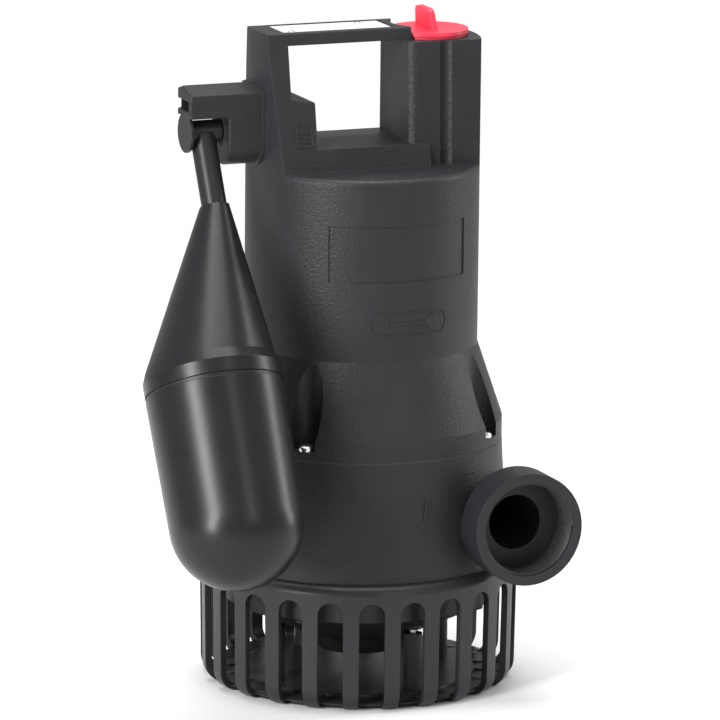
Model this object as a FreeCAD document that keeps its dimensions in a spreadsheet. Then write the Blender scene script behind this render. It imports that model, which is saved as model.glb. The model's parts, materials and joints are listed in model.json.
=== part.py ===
"""Submersible drainage pump that stands on its strainer, with a swinging float beside it.

Frame: millimetres, +Z up. The origin is on the pump axis in the plane that the pump stands on.
+X runs along the handle towards the cable tower, and the outlet points along -Y.
"""
import FreeCAD, Part
import math
import os
import Sketcher

# ---------------------------------------------------------------- driving sizes

SIZES = {
    # outer shell, from the floor up
    "volute_foot_z": 57.2, "volute_foot_radius": 66.7, "volute_top_z": 111.0, "band_radius": 63.5,
    "band_height": 9.5, "skirt_height": 33.5, "barrel_radius": 52.0, "shoulder_z": 235.0,
    "shoulder_round": 2.5, "housing_wall": 4.5, "ceiling_wall": 4.0,
    # recess for a label on the front of the barrel
    "label_foot_z": 189.5, "label_height": 25.0, "label_depth": 0.6, "label_span": 76.0,
    # carry handle: a frame with a window, deeper at its foot than at its top
    "handle_top_z": 296.0, "handle_half_depth_top": 12.2, "handle_half_depth_foot": 24.0,
    "handle_bar": 5.6, "handle_end_x": 17.5, "strap_root": 3.0, "frame_right_x": 23.0,
    "window_left_x": -41.0, "window_right_x": 14.0, "cap_gap": 0.5, "window_floor_z": 245.0,
    "ledge_z": 267.2, "ledge_x": -30.0, "ledge_drop": 1.8, "floor_crown": 1.4, "handle_round": 1.5,
    "window_round": 1.2,
    # tower that holds the cable socket
    "tower_x": 31.0, "tower_top_z": 290.0, "tower_radius": 20.0, "tower_foot_flare": 2.0,
    "tower_corner": 5.5, "tower_rear_inset": 2.8, "flute_x": 31.0, "flute_radius": 3.4,
    "flute_depth": 1.7, "socket_radius": 13.0, "socket_depth": 28.0, "duct_radius": 8.0,
    # type plate on top of the handle
    "plate_x": -16.0, "plate_length": 52.4, "plate_width": 20.6, "plate_thick": 0.8,
    "plate_sink": 1.2, "rivet_head_radius": 1.6, "rivet_head_height": 0.5, "rivet_left_inset": 5.2,
    "rivet_right_inset": 10.7, "rivet_y": 6.8, "rivet_radius": 1.0, "rivet_length": 3.0,
    # bracket that carries the float's pivot
    "pivot_z": 252.1, "block_round_z": 248.0, "bracket_half_width": 11.0, "bracket_top_z": 270.0,
    "bracket_crown": 3.2, "bracket_end_x": -85.5, "bracket_block_x": -67.5, "hood_under_z": 259.5,
    "hood_wall": 2.8, "disc_gap": 0.4, "hood_recess": 7.0, "bracket_round": 1.0, "collar_x": -52.6,
    "collar_lip": 1.6, "hood_nick": 6.0,
    # switch chamber inside the left column
    "chamber_left_x": -47.0, "chamber_right_x": -33.0, "chamber_half_width": 10.5,
    "chamber_top_z": 262.0,
    # pump chamber and outlet
    "chamber_radius": 50.0, "lip_radius": 52.6, "lip_height": 4.4, "outlet_x": 49.7,
    "outlet_z": 80.0, "outlet_face_y": 78.0, "outlet_collar_radius": 25.2,
    "outlet_collar_length": 17.5, "outlet_thread_radius": 20.95, "outlet_thread_depth": 16.5,
    "outlet_bore_radius": 12.25, "outlet_duct_radius": 17.3,
    # strainer basket
    "basket_radius": 71.2, "basket_draft": 0.7, "basket_wall": 3.0, "basket_corner": 9.0,
    "basket_shoulder": 4.0, "slot_count": 24, "slot_width": 11.4, "slot_foot_z": 3.0,
    "slot_top_z": 49.6, "bar_proud": 1.5, "slot_phase": -1.7, "floor_lift": 1.0,
    "foot_ring_width": 9.0, "centre_foot_radius": 9.0, "post_radius": 4.2, "post_circle": 44.0,
    "post_count": 4, "post_phase": 12.0,
    # inlet cone under the pump chamber
    "inlet_lip_z": 13.6, "inlet_bore": 15.0, "inlet_wall": 2.6, "cone_foot_radius": 25.0,
    "cone_foot_z": 21.5, "cone_top_radius": 61.0, "cone_top_z": 38.5, "inlet_screw_circle": 54.0,
    "inlet_screw_phase": 45.0, "wear_thick": 3.0,
    # screws
    "screw_radius": 2.0, "screw_head_radius": 3.9, "screw_head_height": 3.0,
    "housing_screw_circle": 59.4, "housing_screw_count": 4, "housing_screw_phase": 45.0,
    "flange_thick": 4.0, "pocket_radius": 7.0, "housing_screw_length": 16.0,
    "inlet_screw_length": 14.0, "strainer_screw_bite": 9.0, "boss_wall": 2.2,
    "small_screw_radius": 1.5, "small_head_radius": 2.8, "small_head_height": 2.2,
    # shaft, bearings and seal
    "shaft_radius": 7.5, "shaft_core_radius": 9.0, "shaft_tip_radius": 6.0,
    "shaft_nose_radius": 5.0, "thread_radius": 4.0, "lower_bearing_radius": 17.5,
    "lower_bearing_width": 11.0, "upper_bearing_radius": 16.0, "upper_bearing_width": 10.0,
    "ball_radius": 2.9, "ball_count": 8, "lower_bearing_z": 113.0, "upper_bearing_z": 190.0,
    "seal_plate_thick": 10.0, "seal_hub_radius": 19.0, "seal_hub_foot_z": 95.0,
    "seal_ring_radius": 12.5, "bearing_boss_wall": 5.0, "bearing_shoulder": 3.0,
    "bearing_relief": 1.0, "seal_seat_height": 5.0, "seal_ring_height": 4.0, "groove_lift": 1.2,
    "groove_height": 2.8, "groove_depth": 1.9,
    # motor
    "can_thick": 1.8, "can_top_z": 205.0, "stator_foot_z": 136.0, "stator_height": 40.0,
    "stator_bore": 26.0, "air_gap": 0.4, "stator_slot_count": 24, "stator_slot_radius": 2.4,
    "stator_slot_circle": 33.0, "winding_height": 10.5, "winding_inner": 28.5,
    "winding_outer": 42.5, "end_ring_height": 3.0, "end_ring_width": 9.0, "rotor_overhang": 2.0,
    "winding_round": 2.0, "bracket_plate": 3.0, "capacitor_radius": 12.3, "capacitor_length": 56.0,
    "capacitor_round": 1.5,
    # impeller
    "impeller_radius": 44.0, "impeller_gap": 1.0, "vane_height": 15.5, "vane_thick": 3.0,
    "vane_count": 6, "vane_inner_radius": 15.5, "vane_sweep": 50.0, "vane_curve": 30.0,
    "shroud_thick": 3.0, "hub_radius": 9.0, "hub_top_z": 84.0, "washer_thick": 1.5,
    "nut_height": 6.5, "nut_across_corners": 15.0,
    # cable socket and its cap
    "insert_height": 6.0, "insert_stem": 22.0, "pin_radius": 1.6, "pin_circle": 6.0,
    "pin_rise": 9.0, "pin_depth": 4.0, "cap_radius": 17.5, "cap_step_radius": 16.8, "cap_step": 1.2,
    "cap_disc": 1.8, "cap_plug_depth": 5.5, "cap_plug_wall": 1.8, "cap_groove_lift": 1.5,
    "cap_groove_height": 1.8, "cap_groove_depth": 1.0, "tab_x": 30.0, "tab_thick": 2.6,
    "tab_height": 9.4, "tab_half_foot": 10.5, "tab_half_top": 8.6, "tab_round": 3.0,
    "tab_lean": 7.3,
    # float and its lever, measured along the lever from the pivot
    "float_angle": 27.6, "hub_x": -76.1, "lever_hub_radius": 5.2, "lever_hub_inner_x": -68.2,
    "lever_hub_outer_x": -82.9, "lever_disc_radius": 8.9, "lever_disc_thick": 1.3,
    "lever_arm_radius": 5.6, "lever_arm_start": 2.0, "lever_tongue": 4.0, "neck_reach": 34.4,
    "neck_radius": 6.6, "neck_wall": 0.9, "float_x": -90.0, "cone_base_reach": 105.9,
    "cone_base_radius": 28.8, "float_radius": 30.5, "float_seam_reach": 116.5,
    "float_shoulder": 4.5, "float_ring_height": 1.8, "float_ring_sink": 0.6,
    "float_end_radius": 29.4, "float_end_reach": 177.4, "float_wall": 2.5, "ballast_radius": 12.0,
    "ballast_height": 7.0,
    # pivot pin and switch
    "pin_shaft_radius": 3.0, "pin_outer_x": -81.0, "pin_inner_x": -35.0, "seal_bore_radius": 6.5,
    "seal_width": 5.0, "cam_x": -42.8, "cam_width": 4.0, "cam_radius": 4.6, "float_travel": 72.0,
    "switch_length": 19.0, "switch_width": 6.4, "switch_height": 10.0, "plunger_radius": 1.2,
    "plunger_throw": 1.2, "plunger_gap": 0.1, "plunger_buried": 4.0, "terminal_height": 3.5,
    "terminal_pitch": 6.0, "terminal_width": 2.4, "terminal_thick": 0.8,
    # fits
    "running_fit": 0.05, "loose_fit": 0.3, "seat_fit": 0.1,
}

doc = FreeCAD.newDocument("drainage_pump")
sheet = doc.addObject("Spreadsheet::Sheet", "Sizes")
for row, (alias, number) in enumerate(SIZES.items(), start=1):
    sheet.set(f"A{row}", alias)
    sheet.set(f"B{row}", str(number))
    sheet.setAlias(f"B{row}", alias)
doc.recompute()


class Size:
    """A length or angle from the sheet: its value now, and the expression that keeps it true."""

    def __init__(self, value, text):
        self.value = value
        self.text = text

    def joined(self, other, sign, value):
        return Size(value, f"({self.text} {sign} {as_size(other).text})")

    def __add__(self, other):
        return self.joined(other, "+", self.value + as_size(other).value)

    def __sub__(self, other):
        return self.joined(other, "-", self.value - as_size(other).value)

    def __mul__(self, other):
        return self.joined(other, "*", self.value * as_size(other).value)

    def __truediv__(self, other):
        return self.joined(other, "/", self.value / as_size(other).value)

    def __radd__(self, other):
        return as_size(other) + self

    def __rsub__(self, other):
        return as_size(other) - self

    def __rmul__(self, other):
        return as_size(other) * self

    def __neg__(self):
        return Size(-self.value, f"(0 - {self.text})")


def as_size(number):
    return number if isinstance(number, Size) else Size(float(number), repr(float(number)))


def cosine(angle):
    return Size(math.cos(math.radians(as_size(angle).value)), f"cos({as_size(angle).text} * 1 deg)")


def sine(angle):
    return Size(math.sin(math.radians(as_size(angle).value)), f"sin({as_size(angle).text} * 1 deg)")


def root(number):
    return Size(math.sqrt(number.value), f"sqrt({number.text})")


class Sheet:
    """Gives each alias of the sheet as a Size, so that s.barrel_radius reads as the size it is."""

    def __getattr__(self, alias):
        return Size(float(sheet.get(alias)), f"Sizes.{alias}")


s = Sheet()

# ---------------------------------------------------------------- building helpers

subparts = []


def tie(item, name, size):
    """Binds a property or a constraint to an expression on the sheet."""
    item.setExpression(name, as_size(size).text)


def new_body(label, several=False):
    body = doc.addObject("PartDesign::Body", label)
    body.Label = label
    body.AllowCompound = several
    subparts.append(body)
    return body


def place(body, x=0, y=0, z=0, axis=(0, 0, 1), angle=0):
    """Puts a body at a place, turned by an angle about an axis through that place."""
    turn = FreeCAD.Rotation(FreeCAD.Vector(*axis), as_size(angle).value)
    spot = FreeCAD.Vector(*(as_size(part).value for part in (x, y, z)))
    body.Placement = FreeCAD.Placement(spot, turn)
    for name, part in zip("xyz", (x, y, z)):
        if isinstance(part, Size):
            tie(body, f"Placement.Base.{name}", part)
    if isinstance(angle, Size):
        tie(body, "Placement.Rotation.Angle", angle)


def arc(radius, turn):
    """An arc to the next point of an outline: turn is 1 when it runs counter-clockwise, else -1."""
    return ("arc", as_size(radius), turn)


def circle(x, y, radius):
    return ("circle", as_size(x), as_size(y), as_size(radius))


def sketch_on(body, plane, lift=0, shift=(0, 0), tilt=0):
    """A sketch on one of the body's own planes, lifted along its normal and shifted within it.

    A tilt in degrees turns it about its own horizontal axis.
    """
    sketch = body.newObject("Sketcher::SketchObject", body.Label + "_sketch")
    origin_plane = [item for item in body.Origin.OriginFeatures if item.Role == plane + "_Plane"][0]
    sketch.AttachmentSupport = [(origin_plane, "")]
    sketch.MapMode = "FlatFace"
    spot = FreeCAD.Vector(*(as_size(part).value for part in (*shift, lift)))
    turn = FreeCAD.Rotation(FreeCAD.Vector(1, 0, 0), as_size(tilt).value)
    sketch.AttachmentOffset = FreeCAD.Placement(spot, turn)
    for name, part in zip("xyz", (*shift, lift)):
        if isinstance(part, Size):
            tie(sketch, f"AttachmentOffset.Base.{name}", part)
    return sketch


def pin_point(sketch, geometry, end, x, y):
    for kind, size in (("DistanceX", x), ("DistanceY", y)):
        index = sketch.addConstraint(Sketcher.Constraint(kind, -1, 1, geometry, end, size.value))
        tie(sketch, f"Constraints[{index}]", size)


def arc_geometry(first, last, radius, turn):
    """The arc of a radius between two points, with its centre to the left of a left-hand turn."""
    (x1, y1), (x2, y2) = first, last
    chord = math.hypot(x2 - x1, y2 - y1)
    rise = turn * math.sqrt(max(radius ** 2 - chord ** 2 / 4, 0.0))
    cx = (x1 + x2) / 2 - rise * (y2 - y1) / chord
    cy = (y1 + y2) / 2 + rise * (x2 - x1) / chord
    angles = [math.atan2(y1 - cy, x1 - cx), math.atan2(y2 - cy, x2 - cx)]
    if turn < 0:
        angles.reverse()
    if angles[1] < angles[0]:
        angles[1] += 2 * math.pi
    round_line = Part.Circle(FreeCAD.Vector(cx, cy, 0), FreeCAD.Vector(0, 0, 1), radius)
    return Part.ArcOfCircle(round_line, *angles)


def draw(sketch, *outlines):
    """Draws closed outlines. Each is a circle, or a list of (x, y) points with arcs between."""
    for outline in outlines:
        if outline[0] == "circle":
            _, x, y, radius = outline
            centre = FreeCAD.Vector(x.value, y.value, 0)
            ring = Part.Circle(centre, FreeCAD.Vector(0, 0, 1), radius.value)
            geometry = sketch.addGeometry(ring, False)
            pin_point(sketch, geometry, 3, x, y)
            index = sketch.addConstraint(Sketcher.Constraint("Radius", geometry, radius.value))
            tie(sketch, f"Constraints[{index}]", radius)
        else:
            draw_outline(sketch, outline)
    return sketch


def draw_outline(sketch, outline):
    points = [tuple(as_size(part) for part in item) for item in outline if item[0] != "arc"]
    bend_after = bends_by_point(outline)
    ends = []
    for number, point in enumerate(points):
        following = points[(number + 1) % len(points)]
        first = (point[0].value, point[1].value)
        last = (following[0].value, following[1].value)
        if number in bend_after:
            _, radius, turn = bend_after[number]
            geometry = sketch.addGeometry(arc_geometry(first, last, radius.value, turn), False)
            index = sketch.addConstraint(Sketcher.Constraint("Radius", geometry, radius.value))
            tie(sketch, f"Constraints[{index}]", radius)
            ends.append((geometry, 1, 2) if turn > 0 else (geometry, 2, 1))
        else:
            line = Part.LineSegment(FreeCAD.Vector(*first, 0), FreeCAD.Vector(*last, 0))
            ends.append((sketch.addGeometry(line, False), 1, 2))
    for number, point in enumerate(points):
        geometry, start, _ = ends[number]
        before, _, finish = ends[number - 1]
        sketch.addConstraint(Sketcher.Constraint("Coincident", before, finish, geometry, start))
        pin_point(sketch, geometry, start, *point)


def bends_by_point(outline):
    """Which point of an outline each arc follows."""
    found = {}
    count = -1
    for item in outline:
        if item[0] == "arc":
            found[count] = item
        else:
            count += 1
    return found


def feature(body, kind, sketch, **settings):
    """Adds a PartDesign feature on a sketch. Sizes among the settings are bound to the sheet."""
    item = body.newObject("PartDesign::" + kind, body.Label + "_" + kind.lower())
    item.Profile = sketch
    for name, setting in settings.items():
        if isinstance(setting, Size):
            setattr(item, name, setting.value)
            tie(item, name, setting)
        else:
            setattr(item, name, setting)
    return item


def revolved(body, sketch, kind="Revolution", **settings):
    return feature(body, kind, sketch, ReferenceAxis=(sketch, ["V_Axis"]), **settings)


def ring_of(body, items, count):
    """Repeats features evenly round the body's own Z axis."""
    pattern = body.newObject("PartDesign::PolarPattern", body.Label + "_pattern")
    pattern.Originals = items
    z_axis = [item for item in body.Origin.OriginFeatures if item.Role == "Z_Axis"][0]
    pattern.Axis = (z_axis, [""])
    pattern.Angle = 360
    pattern.Occurrences = int(as_size(count).value)
    tie(pattern, "Occurrences", count)
    body.Tip = pattern
    return pattern


def turned(label, outline):
    """A body of revolution about its own Z axis, from an outline of (radius, height) points."""
    body = new_body(label)
    revolved(body, draw(sketch_on(body, "XZ"), outline), Angle=360)
    return body


def tube(label, inner, outer, foot, top):
    return turned(label, [(inner, foot), (outer, foot), (outer, top), (inner, top)])


def round_edges(body, wanted, radius):
    """Fillets the edges of the body that a test on the edge picks out."""
    doc.recompute()
    last = body.Tip
    names = [f"Edge{number}" for number, edge in enumerate(last.Shape.Edges, start=1) if wanted(edge)]
    fillet = body.newObject("PartDesign::Fillet", body.Label + "_fillet")
    fillet.Base = (last, names)
    fillet.Radius = radius.value
    tie(fillet, "Radius", radius)
    body.Tip = fillet
    return fillet


def along(edge):
    """Five points along an edge."""
    step = (edge.LastParameter - edge.FirstParameter) / 4
    return [edge.valueAt(edge.FirstParameter + count * step) for count in range(5)]


def near(value, size):
    return abs(value - as_size(size).value) < 0.05


def rectangle(x1, y1, x2, y2):
    return [(x1, y1), (x2, y1), (x2, y2), (x1, y2)]


# ---------------------------------------------------------------- motor housing

bore_radius = s.barrel_radius - s.housing_wall
ceiling_z = s.shoulder_z - s.ceiling_wall
trim_z = s.shoulder_z - s.shoulder_round
window_top_z = s.handle_top_z - s.handle_bar
handle_height = s.handle_top_z - s.shoulder_z
handle_slope = (s.handle_half_depth_foot - s.handle_half_depth_top) / handle_height
handle_inside_x = s.chamber_left_x - 1
screw_seat_z = s.volute_top_z + s.flange_thick
reach = s.barrel_radius + 10


def handle_half_depth(z):
    """Half the handle's depth at a height: its front and back lean in towards the top."""
    return s.handle_half_depth_foot - handle_slope * (z - s.shoulder_z)


def at_angle(radius, phase):
    """A place on a circle, with the angle counted from -Y towards +X."""
    return radius * sine(phase), -radius * cosine(phase)


def tower_outline(radius):
    """The tower's section: rounded corners on the left, and a flute front and back."""
    chord = root(2 * s.flute_radius * s.flute_depth - s.flute_depth * s.flute_depth)
    near, far = s.flute_x - chord, s.flute_x + chord
    left, corner = s.window_right_x - 1, s.tower_corner
    rear = s.tower_radius - s.tower_rear_inset
    return [(left, corner - radius), arc(corner, 1), (left + corner, -radius), (near, -radius),
            arc(s.flute_radius, -1), (far, -radius), (reach, -radius), (reach, rear), (far, rear),
            arc(s.flute_radius, -1), (near, rear), (left + corner, rear), arc(corner, 1),
            (left, rear - corner)]


def bracket_outline(lip):
    """The pivot block's section: a half-round underside below straight sides and a low ridge."""
    half = s.bracket_half_width + lip
    top = s.bracket_top_z + lip
    return [(-half, top), (-half, s.block_round_z), arc(half, 1), (0, s.block_round_z - half),
            arc(half, 1), (half, s.block_round_z), (half, top), (0, top + s.bracket_crown)]


def add_barrel(body):
    band_top = s.volute_top_z + s.band_height
    skirt_top = band_top + s.skirt_height
    revolved(body, draw(sketch_on(body, "XZ"), [
        (bore_radius, s.volute_top_z), (s.band_radius, s.volute_top_z), (s.band_radius, band_top),
        (s.barrel_radius, skirt_top), (s.barrel_radius, trim_z), arc(s.shoulder_round, 1),
        (s.barrel_radius - s.shoulder_round, s.shoulder_z), (0, s.shoulder_z), (0, ceiling_z),
        (bore_radius, ceiling_z)]), Angle=360)


def add_handle(body):
    """The handle frame and the tower, trimmed to the barrel's own radius."""
    foot, top = handle_half_depth(trim_z), s.handle_half_depth_top
    frame = draw(sketch_on(body, "YZ", lift=-reach),
                 [(-foot, trim_z), (foot, trim_z), (top, s.handle_top_z), (-top, s.handle_top_z)])
    feature(body, "Pad", frame, Length=reach + s.frame_right_x)
    strap_root_z = window_top_z - s.strap_root
    above_floor = draw(sketch_on(body, "XZ"), [
        (s.window_right_x, s.window_floor_z), (s.frame_right_x + 1, s.window_floor_z),
        (s.frame_right_x + 1, s.handle_top_z + 1), (s.handle_end_x, s.handle_top_z + 1),
        (s.handle_end_x, strap_root_z), (s.window_right_x, strap_root_z)])
    feature(body, "Pocket", above_floor, Length=2 * reach, SideType="Symmetric")
    low = draw(sketch_on(body, "XY", lift=trim_z), tower_outline(s.tower_radius + s.tower_foot_flare))
    high = draw(sketch_on(body, "XY", lift=s.tower_top_z), tower_outline(s.tower_radius))
    feature(body, "AdditiveLoft", low, Sections=[high], Ruled=True)
    outside = draw(sketch_on(body, "XY", lift=trim_z), rectangle(-2 * reach, -2 * reach, 2 * reach, 2 * reach),
                   circle(0, 0, s.barrel_radius))
    feature(body, "Pocket", outside, Length=2 * handle_height, Reversed=True)
    round_cap = draw(sketch_on(body, "XY", lift=s.tower_top_z),
                     circle(s.tower_x, 0, s.cap_radius + s.cap_gap))
    feature(body, "Pocket", round_cap, Length=handle_height, Reversed=True)


def round_handle(body):
    """Rounds the handle's long top edges, and the window's rims above the ledge, front and back."""
    round_edges(body, lambda edge: all(
        near(spot.z, s.handle_top_z) and near(abs(spot.y), s.handle_half_depth_top)
        for spot in along(edge)), s.handle_round)
    left, right = s.window_left_x.value - 0.1, s.ledge_x.value + 0.1
    ledge = s.ledge_z.value - s.ledge_drop.value - 0.1
    round_edges(body, lambda edge: all(
        near(abs(spot.y), handle_half_depth(spot.z)) and left < spot.x < right
        and ledge < spot.z < window_top_z.value - 0.1 for spot in along(edge)), s.window_round)


def cut_window(body):
    """The hand opening, with a ledge at its lower left over the switch chamber."""
    window = draw(sketch_on(body, "XZ"), [
        (s.window_left_x, window_top_z), (s.window_left_x, s.ledge_z),
        (s.ledge_x, s.ledge_z - s.ledge_drop), (s.ledge_x, s.window_floor_z),
        (s.window_right_x, s.window_floor_z), (s.window_right_x, window_top_z)])
    feature(body, "Pocket", window, Length=2 * reach, SideType="Symmetric")
    edge = handle_half_depth(s.window_floor_z)
    crown = draw(sketch_on(body, "YZ", lift=s.ledge_x - 1), [
        (-edge, s.window_floor_z), (-edge + 1, s.window_floor_z - 1), (edge - 1, s.window_floor_z - 1),
        (edge, s.window_floor_z), (0, s.window_floor_z + s.floor_crown)])
    feature(body, "Pad", crown, Length=s.window_right_x - s.ledge_x + 2)


def add_bracket(body):
    block = draw(sketch_on(body, "YZ", lift=s.bracket_block_x), bracket_outline(0))
    feature(body, "Pad", block, Length=handle_inside_x - s.bracket_block_x)
    collar = draw(sketch_on(body, "YZ", lift=s.collar_x), bracket_outline(s.collar_lip))
    feature(body, "Pad", collar, Length=handle_inside_x - s.collar_x)
    half = s.bracket_half_width
    hood = draw(sketch_on(body, "YZ", lift=s.bracket_end_x), [
        (-half, s.hood_under_z), (half, s.hood_under_z), (half, s.bracket_top_z),
        (0, s.bracket_top_z + s.bracket_crown), (-half, s.bracket_top_z)])
    feature(body, "Pad", hood, Length=s.bracket_block_x - s.bracket_end_x)
    block_x, collar_x = s.bracket_block_x.value + 0.1, s.collar_x.value
    round_edges(body, lambda edge: all(spot.x < block_x for spot in along(edge))
                or all(near(abs(spot.y), half) and near(spot.z, s.bracket_top_z) and spot.x < collar_x + 0.1
                       for spot in along(edge)), s.bracket_round)
    end_x, nick = s.bracket_end_x, s.hood_nick
    corner = draw(sketch_on(body, "XY", lift=s.hood_under_z), [
        (end_x - 1, half + 1), (end_x - 1, half - nick - 1), (end_x + nick, half + 1)])
    feature(body, "Pocket", corner, Length=nick * 3, Reversed=True)
    inner = half - s.hood_wall
    recess = draw(sketch_on(body, "YZ", lift=s.bracket_end_x), rectangle(
        -inner, s.hood_under_z + s.hood_wall, inner, s.bracket_top_z - s.hood_wall))
    feature(body, "Pocket", recess, Length=s.hood_recess, Reversed=True)
    disc_room = draw(sketch_on(body, "YZ", lift=end_x), circle(0, s.pivot_z, s.lever_disc_radius + s.disc_gap))
    feature(body, "Pocket", disc_room,
            Length=s.lever_hub_outer_x + s.lever_disc_thick + s.disc_gap - end_x, Reversed=True)


def cut_switch_chamber(body):
    chamber = draw(sketch_on(body, "XY", lift=ceiling_z), rectangle(
        s.chamber_left_x, -s.chamber_half_width, s.chamber_right_x, s.chamber_half_width))
    feature(body, "Pocket", chamber, Length=s.chamber_top_z - ceiling_z, Reversed=True)
    bore = draw(sketch_on(body, "YZ", lift=s.bracket_block_x),
                circle(0, s.pivot_z, s.pin_shaft_radius + s.running_fit))
    feature(body, "Pocket", bore, Length=s.chamber_left_x - s.bracket_block_x + 1, Reversed=True)
    seal = draw(sketch_on(body, "YZ", lift=s.bracket_block_x), circle(0, s.pivot_z, s.seal_bore_radius))
    feature(body, "Pocket", seal, Length=s.seal_width, Reversed=True)


def cut_socket(body):
    socket = draw(sketch_on(body, "XY", lift=s.tower_top_z), circle(s.tower_x, 0, s.socket_radius))
    feature(body, "Pocket", socket, Length=s.socket_depth)
    duct = draw(sketch_on(body, "XY", lift=s.tower_top_z), circle(s.tower_x, 0, s.duct_radius))
    feature(body, "Pocket", duct, Length=s.tower_top_z - ceiling_z + 1)


def plate_corners(margin):
    half_length, half_width = s.plate_length / 2 + margin, s.plate_width / 2 + margin
    return rectangle(s.plate_x - half_length, -half_width, s.plate_x + half_length, half_width)


def rivet_circles(radius):
    left_x = s.plate_x - s.plate_length / 2 + s.rivet_left_inset
    right_x = s.plate_x + s.plate_length / 2 - s.rivet_right_inset
    return [circle(left_x, -s.rivet_y, radius), circle(right_x, s.rivet_y, radius)]


def cut_marks(body):
    """The plate's seat and rivet holes on the handle, and the label recess on the barrel."""
    seat = draw(sketch_on(body, "XY", lift=s.handle_top_z), plate_corners(s.seat_fit))
    feature(body, "Pocket", seat, Length=s.plate_sink)
    holes = draw(sketch_on(body, "XY", lift=s.handle_top_z), *rivet_circles(s.rivet_radius))
    feature(body, "Pocket", holes, Length=s.plate_sink + s.rivet_length)
    label_top = s.label_foot_z + s.label_height
    label = draw(sketch_on(body, "YZ"), rectangle(
        -s.barrel_radius - 1, s.label_foot_z, -s.barrel_radius + s.label_depth, label_top))
    revolved(body, label, "Groove", Angle=s.label_span, Midplane=True)


def cut_screw_pockets(body):
    """Upright pockets in the skirt, each with a clearance hole down through the flange."""
    spot = at_angle(s.housing_screw_circle, s.housing_screw_phase)
    pocket = feature(body, "Pocket", draw(sketch_on(body, "XY", lift=screw_seat_z),
                                          circle(*spot, s.pocket_radius)),
                     Length=s.skirt_height + 10, Reversed=True)
    hole = feature(body, "Pocket", draw(sketch_on(body, "XY", lift=screw_seat_z),
                                        circle(*spot, s.screw_radius + s.seat_fit)),
                   Length=s.flange_thick + 1)
    ring_of(body, [pocket, hole], s.housing_screw_count)


def motor_housing():
    body = new_body("motor_housing")
    add_barrel(body)
    add_handle(body)
    cut_window(body)
    round_handle(body)
    add_bracket(body)
    cut_switch_chamber(body)
    cut_socket(body)
    cut_marks(body)
    cut_screw_pockets(body)


# ---------------------------------------------------------------- type plate

def type_plate():
    plate = new_body("type_plate")
    sheet_metal = draw(sketch_on(plate, "XY", lift=s.handle_top_z - s.plate_sink), plate_corners(0),
                       *rivet_circles(s.rivet_radius))
    feature(plate, "Pad", sheet_metal, Length=s.plate_thick)
    rivets = new_body("plate_rivets", several=True)
    plate_top = s.handle_top_z - s.plate_sink + s.plate_thick
    shank_length = s.plate_thick + s.rivet_length
    feature(rivets, "Pad", draw(sketch_on(rivets, "XY", lift=plate_top - shank_length),
                                *rivet_circles(s.rivet_radius)), Length=shank_length)
    feature(rivets, "Pad", draw(sketch_on(rivets, "XY", lift=plate_top),
                                *rivet_circles(s.rivet_head_radius)), Length=s.rivet_head_height)


# ---------------------------------------------------------------- volute casing and seal plate

def volute_casing():
    body = new_body("volute_casing")
    lip_z = s.volute_top_z - s.lip_height
    revolved(body, draw(sketch_on(body, "XZ"), [
        (0, s.volute_foot_z), (s.volute_foot_radius, s.volute_foot_z),
        (s.band_radius, s.volute_top_z), (0, s.volute_top_z)]), Angle=360)
    face_y, collar_y = s.outlet_face_y, s.outlet_face_y - s.outlet_collar_length
    duct = draw(sketch_on(body, "XZ"), circle(s.outlet_x, s.outlet_z, s.outlet_duct_radius))
    feature(body, "Pad", duct, Length=collar_y)
    duct_end = draw(sketch_on(body, "XY", lift=s.outlet_z, shift=(s.outlet_x, 0)), [
        (0, -s.outlet_duct_radius), arc(s.outlet_duct_radius, 1), (s.outlet_duct_radius, 0),
        arc(s.outlet_duct_radius, 1), (0, s.outlet_duct_radius)])
    revolved(body, duct_end, Angle=360)
    collar = draw(sketch_on(body, "XZ", lift=collar_y), circle(s.outlet_x, s.outlet_z, s.outlet_collar_radius))
    feature(body, "Pad", collar, Length=s.outlet_collar_length)
    thread = draw(sketch_on(body, "XZ", lift=face_y), circle(s.outlet_x, s.outlet_z, s.outlet_thread_radius))
    feature(body, "Pocket", thread, Length=s.outlet_thread_depth)
    bore = draw(sketch_on(body, "XZ", lift=face_y), circle(s.outlet_x, s.outlet_z, s.outlet_bore_radius))
    feature(body, "Pocket", bore, Length=face_y)
    chamber = draw(sketch_on(body, "XY", lift=s.volute_foot_z), circle(0, 0, s.chamber_radius))
    feature(body, "Pocket", chamber, Length=s.volute_top_z - s.volute_foot_z, Reversed=True)
    lip = draw(sketch_on(body, "XY", lift=lip_z), circle(0, 0, s.lip_radius))
    feature(body, "Pocket", lip, Length=s.lip_height, Reversed=True)
    housing_spot = at_angle(s.housing_screw_circle, s.housing_screw_phase)
    upper = feature(body, "Pocket", draw(sketch_on(body, "XY", lift=s.volute_top_z),
                                         circle(*housing_spot, s.screw_radius)),
                    Length=s.housing_screw_length - s.flange_thick)
    inlet_spot = at_angle(s.inlet_screw_circle, s.inlet_screw_phase)
    lower = feature(body, "Pocket", draw(sketch_on(body, "XY", lift=s.volute_foot_z),
                                         circle(*inlet_spot, s.screw_radius)),
                    Length=s.inlet_screw_length - s.inlet_wall, Reversed=True)
    ring_of(body, [upper, lower], s.housing_screw_count)


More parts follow.
